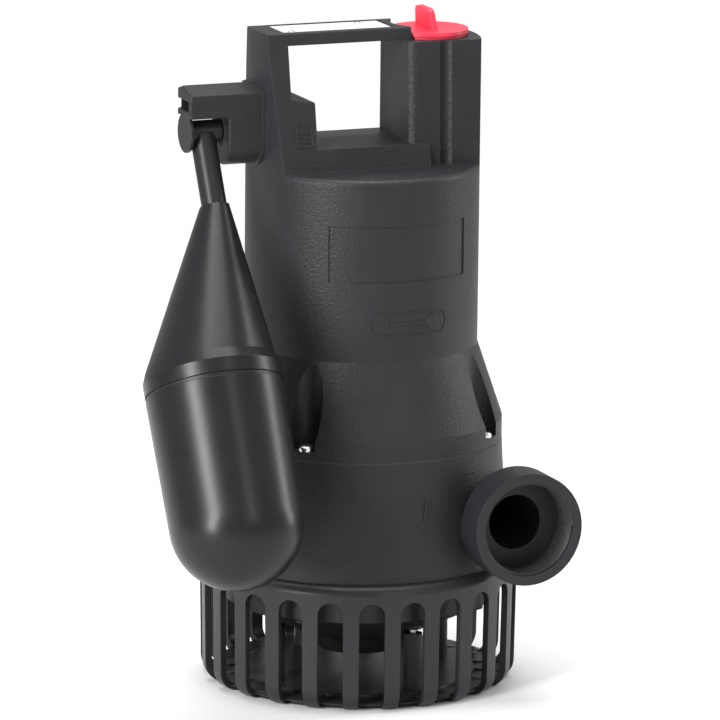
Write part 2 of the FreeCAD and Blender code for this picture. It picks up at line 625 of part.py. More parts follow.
def seal_plate():
    """The plate between pump and motor, with its edge ring and the shaft seal beneath it."""
    plug, lip = s.chamber_radius - s.seat_fit, s.lip_radius - s.seat_fit
    step_z = s.volute_top_z - s.lip_height
    foot = s.volute_top_z - s.seal_plate_thick
    boss_top = s.lower_bearing_z + s.lower_bearing_width
    boss = s.lower_bearing_radius + s.bearing_boss_wall
    groove_z, groove_top = foot + s.groove_lift, foot + s.groove_lift + s.groove_height
    groove = plug - s.groove_depth
    seat_z = s.seal_hub_foot_z + s.seal_ring_height - 1
    seat_top = seat_z + s.seal_seat_height
    seat_radius = s.seal_ring_radius + 1
    hole = s.shaft_radius + s.loose_fit
    relief = s.lower_bearing_radius - s.bearing_shoulder
    turned("seal_plate", [
        (hole, seat_top), (seat_radius, seat_top), (seat_radius, s.seal_hub_foot_z),
        (s.seal_hub_radius, s.seal_hub_foot_z), (s.seal_hub_radius, foot), (plug, foot),
        (plug, groove_z), (groove, groove_z), (groove, groove_top), (plug, groove_top),
        (plug, step_z), (lip, step_z), (lip, s.volute_top_z), (boss, s.volute_top_z),
        (boss, boss_top), (s.lower_bearing_radius, boss_top),
        (s.lower_bearing_radius, s.lower_bearing_z), (relief, s.lower_bearing_z),
        (relief, s.lower_bearing_z - s.bearing_relief), (hole, s.lower_bearing_z - s.bearing_relief)])
    tube("casing_seal", groove, s.chamber_radius, groove_z, groove_top)
    tube("seal_seat", hole, seat_radius, seat_z, seat_top)
    ring_top = seat_z - s.running_fit
    ring_foot = ring_top - s.seal_ring_height
    tube("seal_ring", s.shaft_radius, s.seal_ring_radius, ring_foot, ring_top)
    middle = (s.hub_top_z + ring_foot) / 2
    turned("seal_bellows", [
        (s.shaft_radius, s.hub_top_z), (s.seal_ring_radius - 1, s.hub_top_z),
        (s.seal_ring_radius - 3, middle), (s.seal_ring_radius - 1, ring_foot),
        (s.shaft_radius, ring_foot)])


# ---------------------------------------------------------------- screws

def screw_set(label, ring, count, seat_z, tip_z, sizes):
    """Pan-head screws spaced round the pump's axis. Each head is on the side away from its tip."""
    circle_radius, phase = ring
    radius, head_radius, head_height = sizes
    body = new_body(label, several=True)
    up = 1 if seat_z.value > tip_z.value else -1
    side = head_height * 0.55 * up
    full = head_height * up
    outline = [(0, tip_z), (radius, tip_z), (radius, seat_z), (head_radius, seat_z),
               (head_radius, seat_z + side), (head_radius - head_height * 0.45, seat_z + full),
               (0, seat_z + full)]
    screw = revolved(body, draw(sketch_on(body, "XZ", shift=(circle_radius, 0)), outline), Angle=360)
    ring_of(body, [screw], count)
    place(body, angle=phase - 90)


case_screw = (s.screw_radius, s.screw_head_radius, s.screw_head_height)
small_screw = (s.small_screw_radius, s.small_head_radius, s.small_head_height)


# ---------------------------------------------------------------- inlet cone and strainer

cone_rise = (s.cone_top_z - s.cone_foot_z) / (s.cone_top_radius - s.cone_foot_radius)
cone_over_post_z = s.cone_foot_z + (s.post_circle - s.cone_foot_radius) * cone_rise
post_top_z = cone_over_post_z - s.post_radius * cone_rise
bite_top_z = cone_over_post_z + s.strainer_screw_bite
inlet_seat_z = s.volute_foot_z - s.inlet_wall


def inlet_cone():
    """The cone that leads water from the strainer up to the impeller's eye."""
    body = new_body("inlet_cone")
    wall = s.inlet_wall
    tube_radius, rim = s.inlet_bore + wall, s.cone_top_radius - wall
    corner_z = s.cone_top_z + wall - wall * cone_rise
    revolved(body, draw(sketch_on(body, "XZ"), [
        (s.inlet_bore, s.inlet_lip_z), (tube_radius, s.inlet_lip_z), (s.cone_foot_radius, s.cone_foot_z),
        (s.cone_top_radius, s.cone_top_z), (s.cone_top_radius, s.volute_foot_z),
        (rim, s.volute_foot_z), (rim, corner_z), (tube_radius, corner_z - (rim - tube_radius) * cone_rise),
        (tube_radius, s.volute_foot_z), (s.inlet_bore, s.volute_foot_z)]), Angle=360)
    spot = at_angle(s.inlet_screw_circle, s.inlet_screw_phase)
    post = at_angle(s.post_circle, s.post_phase)
    boss = feature(body, "Pad", draw(sketch_on(body, "XY", lift=s.cone_top_z - 2),
                                     circle(*spot, s.screw_head_radius + s.boss_wall)),
                   Length=s.volute_foot_z - s.cone_top_z + 2)
    bite = feature(body, "Pad", draw(sketch_on(body, "XY", lift=cone_over_post_z),
                                     circle(*post, s.small_screw_radius + s.boss_wall)),
                   Length=s.strainer_screw_bite + s.boss_wall)
    well = feature(body, "Pocket", draw(sketch_on(body, "XY", lift=inlet_seat_z),
                                        circle(*spot, s.screw_head_radius + s.seat_fit)),
                   Length=inlet_seat_z - s.inlet_lip_z)
    hole = feature(body, "Pocket", draw(sketch_on(body, "XY", lift=s.volute_foot_z),
                                        circle(*spot, s.screw_radius + s.seat_fit)), Length=wall + 1)
    thread = feature(body, "Pocket", draw(sketch_on(body, "XY", lift=post_top_z),
                                          circle(*post, s.small_screw_radius)),
                     Length=bite_top_z - post_top_z, Reversed=True)
    ring_of(body, [boss, bite, well, hole, thread], s.post_count)


def strainer_basket():
    """A round basket: a floor, upright bars with slots between them, and screw posts inside."""
    body = new_body("strainer_basket")
    corner, wall = s.basket_corner, s.basket_wall
    foot_radius = s.basket_radius - s.basket_draft
    corner_x = foot_radius - corner
    brim_z = s.volute_foot_z
    brim_inner = s.cone_top_radius + s.loose_fit
    ring_inner = corner_x - s.foot_ring_width
    revolved(body, draw(sketch_on(body, "XZ"), [
        (0, 0), (s.centre_foot_radius, 0), (s.centre_foot_radius, s.floor_lift),
        (ring_inner, s.floor_lift), (ring_inner, 0), (corner_x, 0),
        arc(corner, 1), (foot_radius, corner), (s.basket_radius, brim_z - s.basket_shoulder),
        arc(s.basket_shoulder * 1.15, 1), (s.volute_foot_radius, brim_z), (brim_inner, brim_z),
        (brim_inner, brim_z - wall), (s.basket_radius - wall - s.basket_shoulder, brim_z - wall),
        (s.basket_radius - wall, brim_z - wall - s.basket_shoulder), (foot_radius - wall, corner),
        arc(corner - wall, -1), (corner_x, wall), (ring_inner - 1, wall + s.floor_lift),
        (0, wall + s.floor_lift)]), Angle=360)
    half = s.slot_width / 2
    arch_z = s.slot_top_z - half
    slot = feature(body, "Pocket", draw(sketch_on(body, "XZ", lift=ring_inner), [
        (-half, s.slot_foot_z), (half, s.slot_foot_z), (half, arch_z), arc(half, 1),
        (0, s.slot_top_z), arc(half, 1), (-half, arch_z)]),
                   Length=s.foot_ring_width + corner + 5, Reversed=True)
    shallow = corner - s.bar_proud
    cut_span = 2 * (s.slot_width / 2) / foot_radius * (180 / math.pi)
    notch = revolved(body, draw(sketch_on(body, "YZ"), [
        (-corner_x, s.bar_proud), arc(shallow, -1), (-corner_x - shallow, corner),
        (-foot_radius - 2, corner), (-foot_radius - 2, -2), (-corner_x, -2)]),
                     "Groove", Angle=cut_span, Midplane=True)
    ring_of(body, [slot, notch], s.slot_count)
    ring_of(body, post_features(body), s.post_count)
    place(body, angle=s.slot_phase)


def post_features(body):
    """A post from the basket's floor up to the cone, hollow for its screw."""
    spot = at_angle(s.post_circle, s.post_phase - s.slot_phase)
    post = feature(body, "Pad", draw(sketch_on(body, "XY", lift=s.floor_lift), circle(*spot, s.post_radius)),
                   Length=post_top_z - s.floor_lift)
    hole = feature(body, "Pocket", draw(sketch_on(body, "XY", lift=post_top_z),
                                        circle(*spot, s.small_screw_radius + s.seat_fit)),
                   Length=post_top_z + 1)
    well = feature(body, "Pocket", draw(sketch_on(body, "XY"),
                                        circle(*spot, s.small_head_radius + s.seat_fit)),
                   Length=post_seat_z, Reversed=True)
    return [post, hole, well]


# ---------------------------------------------------------------- shaft, bearings and motor

def motor_shaft():
    turned("motor_shaft", [
        (0, nut_foot_z - 1.5), (s.thread_radius, nut_foot_z - 1.5), (s.thread_radius, impeller_foot_z + 0.5),
        (s.shaft_nose_radius, impeller_foot_z + 0.5), (s.shaft_nose_radius, s.hub_top_z),
        (s.shaft_radius, s.hub_top_z), (s.shaft_radius, lower_bearing_top),
        (s.shaft_core_radius, lower_bearing_top), (s.shaft_core_radius, s.upper_bearing_z),
        (s.shaft_tip_radius, s.upper_bearing_z), (s.shaft_tip_radius, upper_bearing_top),
        (0, upper_bearing_top)])


def ball_bearing(name, inner, outer, foot, width):
    """A grooved inner ring, a grooved outer ring and the balls that run between them."""
    pitch = (inner + outer) / 2
    track = s.ball_radius + s.running_fit
    side = s.ball_radius * 0.42
    half_groove = root(track * track - side * side)
    middle, top = foot + width / 2, foot + width
    turned(name + "_outer", [
        (pitch + side, foot), (outer, foot), (outer, top), (pitch + side, top),
        (pitch + side, middle + half_groove), arc(track, -1), (pitch + track, middle),
        arc(track, -1), (pitch + side, middle - half_groove)])
    turned(name + "_inner", [
        (inner, foot), (pitch - side, foot), (pitch - side, middle - half_groove), arc(track, -1),
        (pitch - track, middle), arc(track, -1), (pitch - side, middle + half_groove),
        (pitch - side, top), (inner, top)])
    body = new_body(name + "_balls", several=True)
    radius = s.ball_radius
    ball = revolved(body, draw(sketch_on(body, "XZ", shift=(pitch, middle)), [
        (0, -radius), arc(radius, 1), (radius, 0), arc(radius, 1), (0, radius)]), Angle=360)
    ring_of(body, [ball], s.ball_count)


def rotor():
    outer = s.stator_bore - s.air_gap
    rotor_foot = s.stator_foot_z - s.rotor_overhang
    rotor_top = s.stator_foot_z + s.stator_height + s.rotor_overhang
    tube("rotor_core", s.shaft_core_radius, outer, rotor_foot, rotor_top)
    rings = new_body("rotor_end_rings", several=True)
    ring_outer, ring_inner = outer - 0.5, outer - s.end_ring_width
    for foot in (rotor_foot - s.end_ring_height, rotor_top):
        band = draw(sketch_on(rings, "XZ"), rectangle(ring_inner, foot, ring_outer, foot + s.end_ring_height))
        revolved(rings, band, Angle=360)


def stator():
    core = new_body("stator_core")
    stator_top = s.stator_foot_z + s.stator_height
    feature(core, "Pad", draw(sketch_on(core, "XY", lift=s.stator_foot_z),
                              circle(0, 0, can_bore - s.seat_fit), circle(0, 0, s.stator_bore)),
            Length=s.stator_height)
    slot = feature(core, "Pocket", draw(sketch_on(core, "XY", lift=stator_top),
                                        circle(s.stator_slot_circle, 0, s.stator_slot_radius)),
                   Length=s.stator_height)
    ring_of(core, [slot], s.stator_slot_count)
    for label, foot in (("lower_winding", s.stator_foot_z - s.winding_height),
                        ("upper_winding", stator_top)):
        top = foot + s.winding_height
        soft = s.winding_round
        turned(label, [
            (s.winding_inner, foot + soft), arc(soft, 1), (s.winding_inner + soft, foot),
            (s.winding_outer - soft, foot), arc(soft, 1), (s.winding_outer, foot + soft),
            (s.winding_outer, top - soft), arc(soft, 1), (s.winding_outer - soft, top),
            (s.winding_inner + soft, top), arc(soft, 1), (s.winding_inner, top - soft)])


def motor_frame():
    """The steel can round the motor and the bracket that holds the upper bearing in it."""
    tube("motor_can", can_bore, can_bore + s.can_thick, s.volute_top_z, s.can_top_z)
    boss = s.upper_bearing_radius + s.bearing_boss_wall
    rim = can_bore - s.seat_fit
    plate_z = upper_bearing_top + 1
    turned("upper_bracket", [
        (0, plate_z), (s.upper_bearing_radius, plate_z), (s.upper_bearing_radius, s.upper_bearing_z),
        (boss, s.upper_bearing_z), (boss, plate_z), (rim, plate_z), (rim, plate_z + s.bracket_plate),
        (0, plate_z + s.bracket_plate)])
    body = new_body("capacitor")
    half, soft = s.capacitor_length / 2, s.capacitor_round
    axis_z = plate_z + s.bracket_plate + s.capacitor_radius
    can = draw(sketch_on(body, "XZ", shift=(0, axis_z)), [
        (-half, 0), (half, 0), (half, s.capacitor_radius - soft), arc(soft, 1),
        (half - soft, s.capacitor_radius), (soft - half, s.capacitor_radius), arc(soft, 1),
        (-half, s.capacitor_radius - soft)])
    feature(body, "Revolution", can, ReferenceAxis=(can, ["H_Axis"]), Angle=360)


# ---------------------------------------------------------------- impeller

def impeller():
    """A hub and a disc with curved vanes hanging beneath it."""
    body = new_body("impeller")
    disc_foot = impeller_foot_z + s.vane_height
    disc_top = disc_foot + s.shroud_thick
    revolved(body, draw(sketch_on(body, "XZ"), [
        (s.shaft_nose_radius, impeller_foot_z), (s.hub_radius, impeller_foot_z), (s.hub_radius, disc_foot),
        (s.impeller_radius, disc_foot), (s.impeller_radius, disc_top), (s.seal_ring_radius, disc_top),
        (s.seal_ring_radius, s.hub_top_z), (s.shaft_nose_radius, s.hub_top_z)]), Angle=360)
    tip = s.impeller_radius - 0.5
    spread = s.vane_thick / tip * (180 / math.pi)
    trailing = (tip * cosine(s.vane_sweep), -tip * sine(s.vane_sweep))
    leading = (tip * cosine(s.vane_sweep - spread), -tip * sine(s.vane_sweep - spread))
    vane = feature(body, "Pad", draw(sketch_on(body, "XY", lift=impeller_foot_z), [
        (s.vane_inner_radius, 0), arc(s.vane_curve, -1), trailing, leading, arc(s.vane_curve, 1),
        (s.vane_inner_radius + s.vane_thick, 0)]), Length=s.vane_height + 1)
    ring_of(body, [vane], s.vane_count)
    washer_foot = impeller_foot_z - s.washer_thick
    tube("impeller_washer", s.thread_radius + s.seat_fit, s.hub_radius, washer_foot, impeller_foot_z)
    nut = new_body("impeller_nut")
    corner = s.nut_across_corners / 2
    hexagon = [(corner * cosine(turn), corner * sine(turn)) for turn in range(0, 360, 60)]
    feature(nut, "Pad", draw(sketch_on(nut, "XY", lift=nut_foot_z), hexagon,
                             circle(0, 0, s.thread_radius)), Length=s.nut_height)


# ---------------------------------------------------------------- cable socket and its cap

def cable_socket():
    socket_foot = s.tower_top_z - s.socket_depth
    insert_top = socket_foot + s.insert_height
    insert = new_body("socket_insert")
    feature(insert, "Pad", draw(sketch_on(insert, "XY", lift=socket_foot),
                                circle(s.tower_x, 0, s.socket_radius - s.seat_fit)), Length=s.insert_height)
    feature(insert, "Pad", draw(sketch_on(insert, "XY", lift=socket_foot - s.insert_stem),
                                circle(s.tower_x, 0, s.duct_radius - s.seat_fit)), Length=s.insert_stem)
    holes = [circle(s.tower_x + s.pin_circle * cosine(turn), s.pin_circle * sine(turn), s.pin_radius)
             for turn in (45, 135, 225, 315)]
    feature(insert, "Pocket", draw(sketch_on(insert, "XY", lift=insert_top), *holes), Length=s.pin_depth)
    pins = new_body("contact_pins", several=True)
    feature(pins, "Pad", draw(sketch_on(pins, "XY", lift=insert_top - s.pin_depth), *holes),
            Length=s.pin_depth + s.pin_rise)


def socket_cap():
    """The plug-in cap with its grip tab, and the ring that seals its plug."""
    body = new_body("socket_cap")
    plug = s.socket_radius - s.seat_fit
    hollow = plug - s.cap_plug_wall
    foot, step_top = s.tower_top_z - s.cap_plug_depth, s.tower_top_z + s.cap_step
    top = step_top + s.cap_disc
    groove_z, groove_top = foot + s.cap_groove_lift, foot + s.cap_groove_lift + s.cap_groove_height
    groove = plug - s.cap_groove_depth
    revolved(body, draw(sketch_on(body, "XZ", shift=(s.tower_x, 0)), [
        (hollow, foot), (plug, foot), (plug, groove_z), (groove, groove_z), (groove, groove_top),
        (plug, groove_top), (plug, s.tower_top_z), (s.cap_step_radius, s.tower_top_z),
        (s.cap_step_radius, step_top), (s.cap_radius, step_top), (s.cap_radius, top), (0, top),
        (0, s.tower_top_z), (hollow, s.tower_top_z)]), Angle=360)
    tab = draw(sketch_on(body, "YZ", lift=s.tab_x, shift=(0, top), tilt=-s.tab_lean), [
        (-s.tab_half_foot, -1), (s.tab_half_foot, -1), (s.tab_half_top, s.tab_height - s.tab_round),
        arc(s.tab_round, 1), (s.tab_half_top - s.tab_round, s.tab_height),
        (s.tab_round - s.tab_half_top, s.tab_height), arc(s.tab_round, 1),
        (-s.tab_half_top, s.tab_height - s.tab_round)])
    feature(body, "Pad", tab, Length=s.tab_thick, SideType="Symmetric")
    seal = new_body("cap_seal")
    revolved(seal, draw(sketch_on(seal, "XZ", shift=(s.tower_x, 0)), rectangle(
        groove, groove_z, s.socket_radius - s.running_fit, groove_top)), Angle=360)


# ---------------------------------------------------------------- float and its lever

def hang(body):
    """Hangs a body that is drawn straight down from the pivot at the float's resting angle."""
    place(body, z=s.pivot_z, axis=(-1, 0, 0), angle=s.float_angle)


def float_lever():
    body = new_body("float_lever")
    feature(body, "Pad", draw(sketch_on(body, "YZ", lift=s.lever_hub_outer_x),
                              circle(0, 0, s.lever_hub_radius)),
            Length=s.lever_hub_inner_x - s.lever_hub_outer_x)
    feature(body, "Pad", draw(sketch_on(body, "YZ", lift=s.lever_hub_outer_x - s.lever_disc_thick),
                              circle(0, 0, s.lever_disc_radius)), Length=s.lever_disc_thick)
    feature(body, "Pad", draw(sketch_on(body, "XY", lift=-s.lever_arm_start),
                              circle(s.hub_x, 0, s.lever_arm_radius)),
            Length=s.neck_reach + s.lever_tongue - s.lever_arm_start, Reversed=True)
    feature(body, "Pocket", draw(sketch_on(body, "YZ", lift=s.lever_hub_inner_x),
                                 circle(0, 0, s.pin_shaft_radius)),
            Length=s.lever_hub_inner_x - s.pin_outer_x)
    hang(body)


def float_upper():
    """The float's upper shell: a neck that widens sideways into a round shoulder."""
    body = new_body("float_upper")
    seam, base = s.float_seam_reach, s.cone_base_reach
    wall = s.float_wall
    outside = [draw(sketch_on(body, "XY", lift=-s.neck_reach), circle(s.hub_x, 0, s.neck_radius)),
               draw(sketch_on(body, "XY", lift=-base), circle(s.float_x, 0, s.cone_base_radius))]
    feature(body, "AdditiveLoft", outside[0], Sections=[outside[1]])
    revolved(body, draw(sketch_on(body, "XZ", shift=(s.float_x, 0)), [
        (0, -seam), (s.float_radius, -seam), (s.float_radius, -base - s.float_shoulder),
        (s.cone_base_radius, -base), (0, -base)]), Angle=360)
    inside = [draw(sketch_on(body, "XY", lift=-s.neck_reach), circle(s.hub_x, 0, s.neck_radius - s.neck_wall)),
              draw(sketch_on(body, "XY", lift=-base), circle(s.float_x, 0, s.cone_base_radius - wall))]
    feature(body, "SubtractiveLoft", inside[0], Sections=[inside[1]])
    revolved(body, draw(sketch_on(body, "XZ", shift=(s.float_x, 0)), [
        (0, -seam - 1), (s.float_radius - wall, -seam - 1),
        (s.float_radius - wall, -base - s.float_shoulder), (s.cone_base_radius - wall, -base + 0.01),
        (0, -base + 0.01)]), "Groove", Angle=360)
    hang(body)


def float_lower():
    """The seam ring, the long lower shell with its round end, and the weight inside it."""
    ring_foot = -s.float_seam_reach - s.float_ring_height
    end, wall = s.float_end_radius, s.float_wall
    ring = new_body("float_joint_ring")
    revolved(ring, draw(sketch_on(ring, "XZ", shift=(s.float_x, 0)), rectangle(
        s.float_radius - wall, ring_foot, s.float_radius - s.float_ring_sink, -s.float_seam_reach)), Angle=360)
    hang(ring)
    shell = new_body("float_lower")
    revolved(shell, draw(sketch_on(shell, "XZ", shift=(s.float_x, -s.float_end_reach)), [
        (0, -end), arc(end, 1), (end, 0), (s.float_radius, s.float_end_reach + ring_foot),
        (s.float_radius - wall, s.float_end_reach + ring_foot), (end - wall, 0),
        arc(end - wall, -1), (0, wall - end)]), Angle=360)
    hang(shell)
    ballast = new_body("float_ballast")
    inside = end - wall
    depth = root(inside * inside - s.ballast_radius * s.ballast_radius)
    feature(ballast, "Pad", draw(sketch_on(ballast, "XY", lift=-s.float_end_reach - depth),
                                 circle(s.float_x, 0, s.ballast_radius)), Length=s.ballast_height)
    hang(ballast)


# ---------------------------------------------------------------- pivot pin and level switch

def pivot_pin():
    pin = new_body("pivot_pin")
    feature(pin, "Pad", draw(sketch_on(pin, "YZ", lift=s.pin_outer_x), circle(0, 0, s.pin_shaft_radius)),
            Length=s.pin_inner_x - s.pin_outer_x)
    hang(pin)
    cam = new_body("switch_cam")
    away = s.float_angle + s.float_travel / 2 + 90
    offset = s.plunger_throw / (2 * sine(s.float_travel / 2))
    cam_middle = circle(offset * sine(away), -offset * cosine(away), s.cam_radius + s.plunger_throw / 2)
    feature(cam, "Pad", draw(sketch_on(cam, "YZ", lift=s.cam_x - s.cam_width / 2), cam_middle,
                             circle(0, 0, s.pin_shaft_radius)), Length=s.cam_width)
    hang(cam)
    seal = new_body("pivot_seal")
    feature(seal, "Pad", draw(sketch_on(seal, "YZ", lift=s.bracket_block_x),
                              circle(0, s.pivot_z, s.seal_bore_radius),
                              circle(0, s.pivot_z, s.pin_shaft_radius + s.running_fit)), Length=s.seal_width)


def level_switch():
    """The switch in the chamber under the pivot: the cam pushes its plunger down."""
    plunger_top = s.pivot_z - s.cam_radius - s.plunger_gap
    body_foot = ceiling_z + 0.5
    body_top = body_foot + s.switch_height
    plunger_foot = body_top - s.plunger_buried
    half = s.switch_length / 2
    box = new_body("switch_body")
    feature(box, "Pad", draw(sketch_on(box, "XY", lift=body_foot), rectangle(
        s.chamber_left_x, -half, s.chamber_left_x + s.switch_width, half)), Length=s.switch_height)
    feature(box, "Pocket", draw(sketch_on(box, "XY", lift=body_top),
                                circle(s.cam_x, 0, s.plunger_radius + s.running_fit)),
            Length=s.plunger_buried + s.plunger_throw + 0.5)
    plunger = new_body("switch_plunger")
    feature(plunger, "Pad", draw(sketch_on(plunger, "XY", lift=plunger_foot),
                                 circle(s.cam_x, 0, s.plunger_radius)),
            Length=plunger_top - plunger_foot)
    blades = new_body("switch_terminals", several=True)
    middle_x = s.chamber_left_x + s.switch_width / 2
    outlines = []
    for step in (-1, 0, 1):
        left, near = middle_x - s.terminal_thick / 2, step * s.terminal_pitch - s.terminal_width / 2
        outlines.append(rectangle(left, near, left + s.terminal_thick, near + s.terminal_width))
    feature(blades, "Pad", draw(sketch_on(blades, "XY", lift=body_foot - s.terminal_height), *outlines),
            Length=s.terminal_height)


# ---------------------------------------------------------------- the whole pump

impeller_foot_z = s.volute_foot_z + s.wear_thick + s.impeller_gap
nut_foot_z = impeller_foot_z - s.washer_thick - s.nut_height
lower_bearing_top = s.lower_bearing_z + s.lower_bearing_width
upper_bearing_top = s.upper_bearing_z + s.upper_bearing_width
can_bore = bore_radius - s.seat_fit * 2 - s.can_thick
post_seat_z = s.floor_lift + s.small_head_height + 1

motor_housing()
type_plate()
volute_casing()
screw_set("housing_screws", (s.housing_screw_circle, s.housing_screw_phase), s.housing_screw_count,
          screw_seat_z, screw_seat_z - s.housing_screw_length, case_screw)
seal_plate()
motor_shaft()
ball_bearing("lower_bearing", s.shaft_radius, s.lower_bearing_radius, s.lower_bearing_z,
             s.lower_bearing_width)
ball_bearing("upper_bearing", s.shaft_tip_radius, s.upper_bearing_radius, s.upper_bearing_z,
             s.upper_bearing_width)
rotor()
stator()
motor_frame()
impeller()
tube("wear_plate", s.inlet_bore, s.chamber_radius - s.seat_fit, s.volute_foot_z,
     s.volute_foot_z + s.wear_thick)
inlet_cone()
screw_set("inlet_screws", (s.inlet_screw_circle, s.inlet_screw_phase), s.post_count, inlet_seat_z,
          inlet_seat_z + s.inlet_screw_length, case_screw)
strainer_basket()
screw_set("strainer_screws", (s.post_circle, s.post_phase), s.post_count, post_seat_z, bite_top_z,
          small_screw)
cable_socket()
socket_cap()
float_lever()
float_upper()
float_lower()
pivot_pin()
level_switch()

# ---------------------------------------------------------------- checks and export

doc.recompute()
faulty = [item.Name for item in doc.Objects if "Invalid" in item.State or "Error" in item.State]
if faulty:
    raise SystemExit(f"these did not build: {faulty}")
os.makedirs("parts", exist_ok=True)
for body in subparts:
    if body.Shape.isNull() or not body.Shape.isValid():
        raise SystemExit(f"{body.Label} has no valid shape")
    body.Shape.exportStep(f"parts/{body.Label}.step")
    print(f"{body.Label:24} {len(body.Shape.Solids):3} solids {body.Shape.Volume:12.1f} mm3")
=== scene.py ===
import json
import math

import bmesh
import bpy
from mathutils import Matrix, Vector

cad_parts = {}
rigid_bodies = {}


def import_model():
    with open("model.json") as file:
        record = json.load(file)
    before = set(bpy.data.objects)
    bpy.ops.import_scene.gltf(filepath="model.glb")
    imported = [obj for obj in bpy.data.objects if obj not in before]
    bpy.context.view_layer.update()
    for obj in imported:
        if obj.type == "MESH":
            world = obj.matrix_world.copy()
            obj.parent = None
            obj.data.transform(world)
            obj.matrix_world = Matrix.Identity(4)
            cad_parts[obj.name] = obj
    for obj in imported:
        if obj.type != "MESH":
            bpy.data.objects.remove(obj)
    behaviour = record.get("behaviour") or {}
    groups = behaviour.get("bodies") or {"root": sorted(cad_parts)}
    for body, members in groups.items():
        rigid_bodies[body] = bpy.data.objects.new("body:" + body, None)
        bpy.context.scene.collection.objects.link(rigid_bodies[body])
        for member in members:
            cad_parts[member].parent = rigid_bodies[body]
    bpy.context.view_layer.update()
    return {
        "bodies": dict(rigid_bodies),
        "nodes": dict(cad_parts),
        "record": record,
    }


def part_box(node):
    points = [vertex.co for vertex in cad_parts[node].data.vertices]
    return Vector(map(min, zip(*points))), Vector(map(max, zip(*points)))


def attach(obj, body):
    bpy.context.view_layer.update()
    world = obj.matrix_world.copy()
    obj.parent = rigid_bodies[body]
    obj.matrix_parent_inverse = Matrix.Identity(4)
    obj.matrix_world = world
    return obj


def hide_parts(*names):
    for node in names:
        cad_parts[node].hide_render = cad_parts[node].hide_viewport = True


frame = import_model()


# ---------------------------------------------------------------- node trees

class Link:
    """An output socket. Arithmetic on it adds Math nodes."""

    def __init__(self, work, socket):
        self.work, self.socket = work, socket

    def maths(self, operation, *values):
        return self.work.add("ShaderNodeMath", {"operation": operation}, dict(enumerate(values)))

    def fraction(self):
        return self.maths("FRACT", self)

    def sine(self):
        return self.maths("SINE", self)

    def under(self, limit):
        return self.maths("LESS_THAN", self, limit)

    def __add__(self, other):
        return self.maths("ADD", self, other)

    def __sub__(self, other):
        return self.maths("SUBTRACT", self, other)

    def __rsub__(self, other):
        return self.maths("SUBTRACT", other, self)

    def __mul__(self, other):
        return self.maths("MULTIPLY", self, other)

    def __truediv__(self, other):
        return self.maths("DIVIDE", self, other)

    __radd__, __rmul__ = __add__, __mul__


class Work:
    """A node tree that is filled one node at a time."""

    def __init__(self, tree):
        self.tree = tree

    def add(self, kind, settings=None, sockets=None, out=0):
        node = self.tree.nodes.new(kind)
        for name, value in (settings or {}).items():
            setattr(node, name, value)
        for key, value in (sockets or {}).items():
            for part in value if isinstance(value, list) else [value]:
                if isinstance(part, Link):
                    self.tree.links.new(part.socket, node.inputs[key])
                else:
                    node.inputs[key].default_value = part
        return Link(self, node.outputs[out]) if len(node.outputs) else None

    def noise(self, place, size, detail=3.0, stretch=(1, 1, 1)):
        """Noise of a feature size in metres, stretched along an axis if need be."""
        spread = self.add("ShaderNodeMapping", {}, {"Vector": place, "Scale": stretch})
        return self.add("ShaderNodeTexNoise", {}, {"Vector": spread, "Scale": 1 / size, "Detail": detail})

    def between(self, factor, low, high):
        """Two colours mixed by a factor."""
        return self.add("ShaderNodeMix", {"data_type": "RGBA"},
                        {0: factor, 6: (*low, 1), 7: (*high, 1)}, out=2)


# ---------------------------------------------------------------- finishes

JOINT_SHARE = 0.22          # part of a sheet's pitch that its dark joint takes
WIRE_TURNS = 5200.0         # radians of wire pattern in a metre


def start_finish(name, metal=0.0, coat=0.0, **fixed):
    """An empty finish: its material, tree, shader and the place on the piece."""
    material = bpy.data.materials.new(name)
    material.use_nodes = True
    material.node_tree.nodes.clear()
    work = Work(material.node_tree)
    shader = work.tree.nodes.new("ShaderNodeBsdfPrincipled")
    shader.inputs["Metallic"].default_value = metal
    shader.inputs["Coat Weight"].default_value = coat
    for socket, value in fixed.items():
        shader.inputs[socket].default_value = value
    work.add("ShaderNodeOutputMaterial", {}, {"Surface": Link(work, shader.outputs[0])})
    place = work.add("ShaderNodeTexCoord", out=3)
    return material, work, shader, place


def wire(work, shader, **values):
    """Joins values or sockets to the shader's own sockets."""
    for socket, value in values.items():
        target = shader.inputs[socket.replace("_", " ")]
        if isinstance(value, Link):
            work.tree.links.new(value.socket, target)
        else:
            target.default_value = value


def moulded(name, colour, rough, grain, depth, edge=0.0006, mottle=0.12, coat=0.0, shine=0.3):
    """Moulded plastic: a fine spark-eroded grain, faint flow clouds and edges that catch the light."""
    material, work, shader, place = start_finish(name, coat=coat, **{"Specular IOR Level": shine})
    clouds = work.noise(place, 0.03, 2)
    flow = work.noise(place, 0.006, 4, stretch=(1, 1, 0.35))
    speck = work.noise(place, grain, 2)
    shade = clouds * 0.55 + flow * 0.25 + speck * 0.2
    low = tuple(channel * (1 - mottle) for channel in colour)
    high = tuple(channel * (1 + mottle) for channel in colour)
    round_edge = work.add("ShaderNodeBevel", {"samples": 4}, {"Radius": edge})
    bump = work.add("ShaderNodeBump", {}, {
        "Strength": 1.0, "Distance": depth, "Height": speck, "Normal": round_edge})
    wire(work, shader, Base_Color=work.between(shade, low, high),
         Roughness=rough - 0.05 + 0.1 * flow, Normal=bump)
    return material


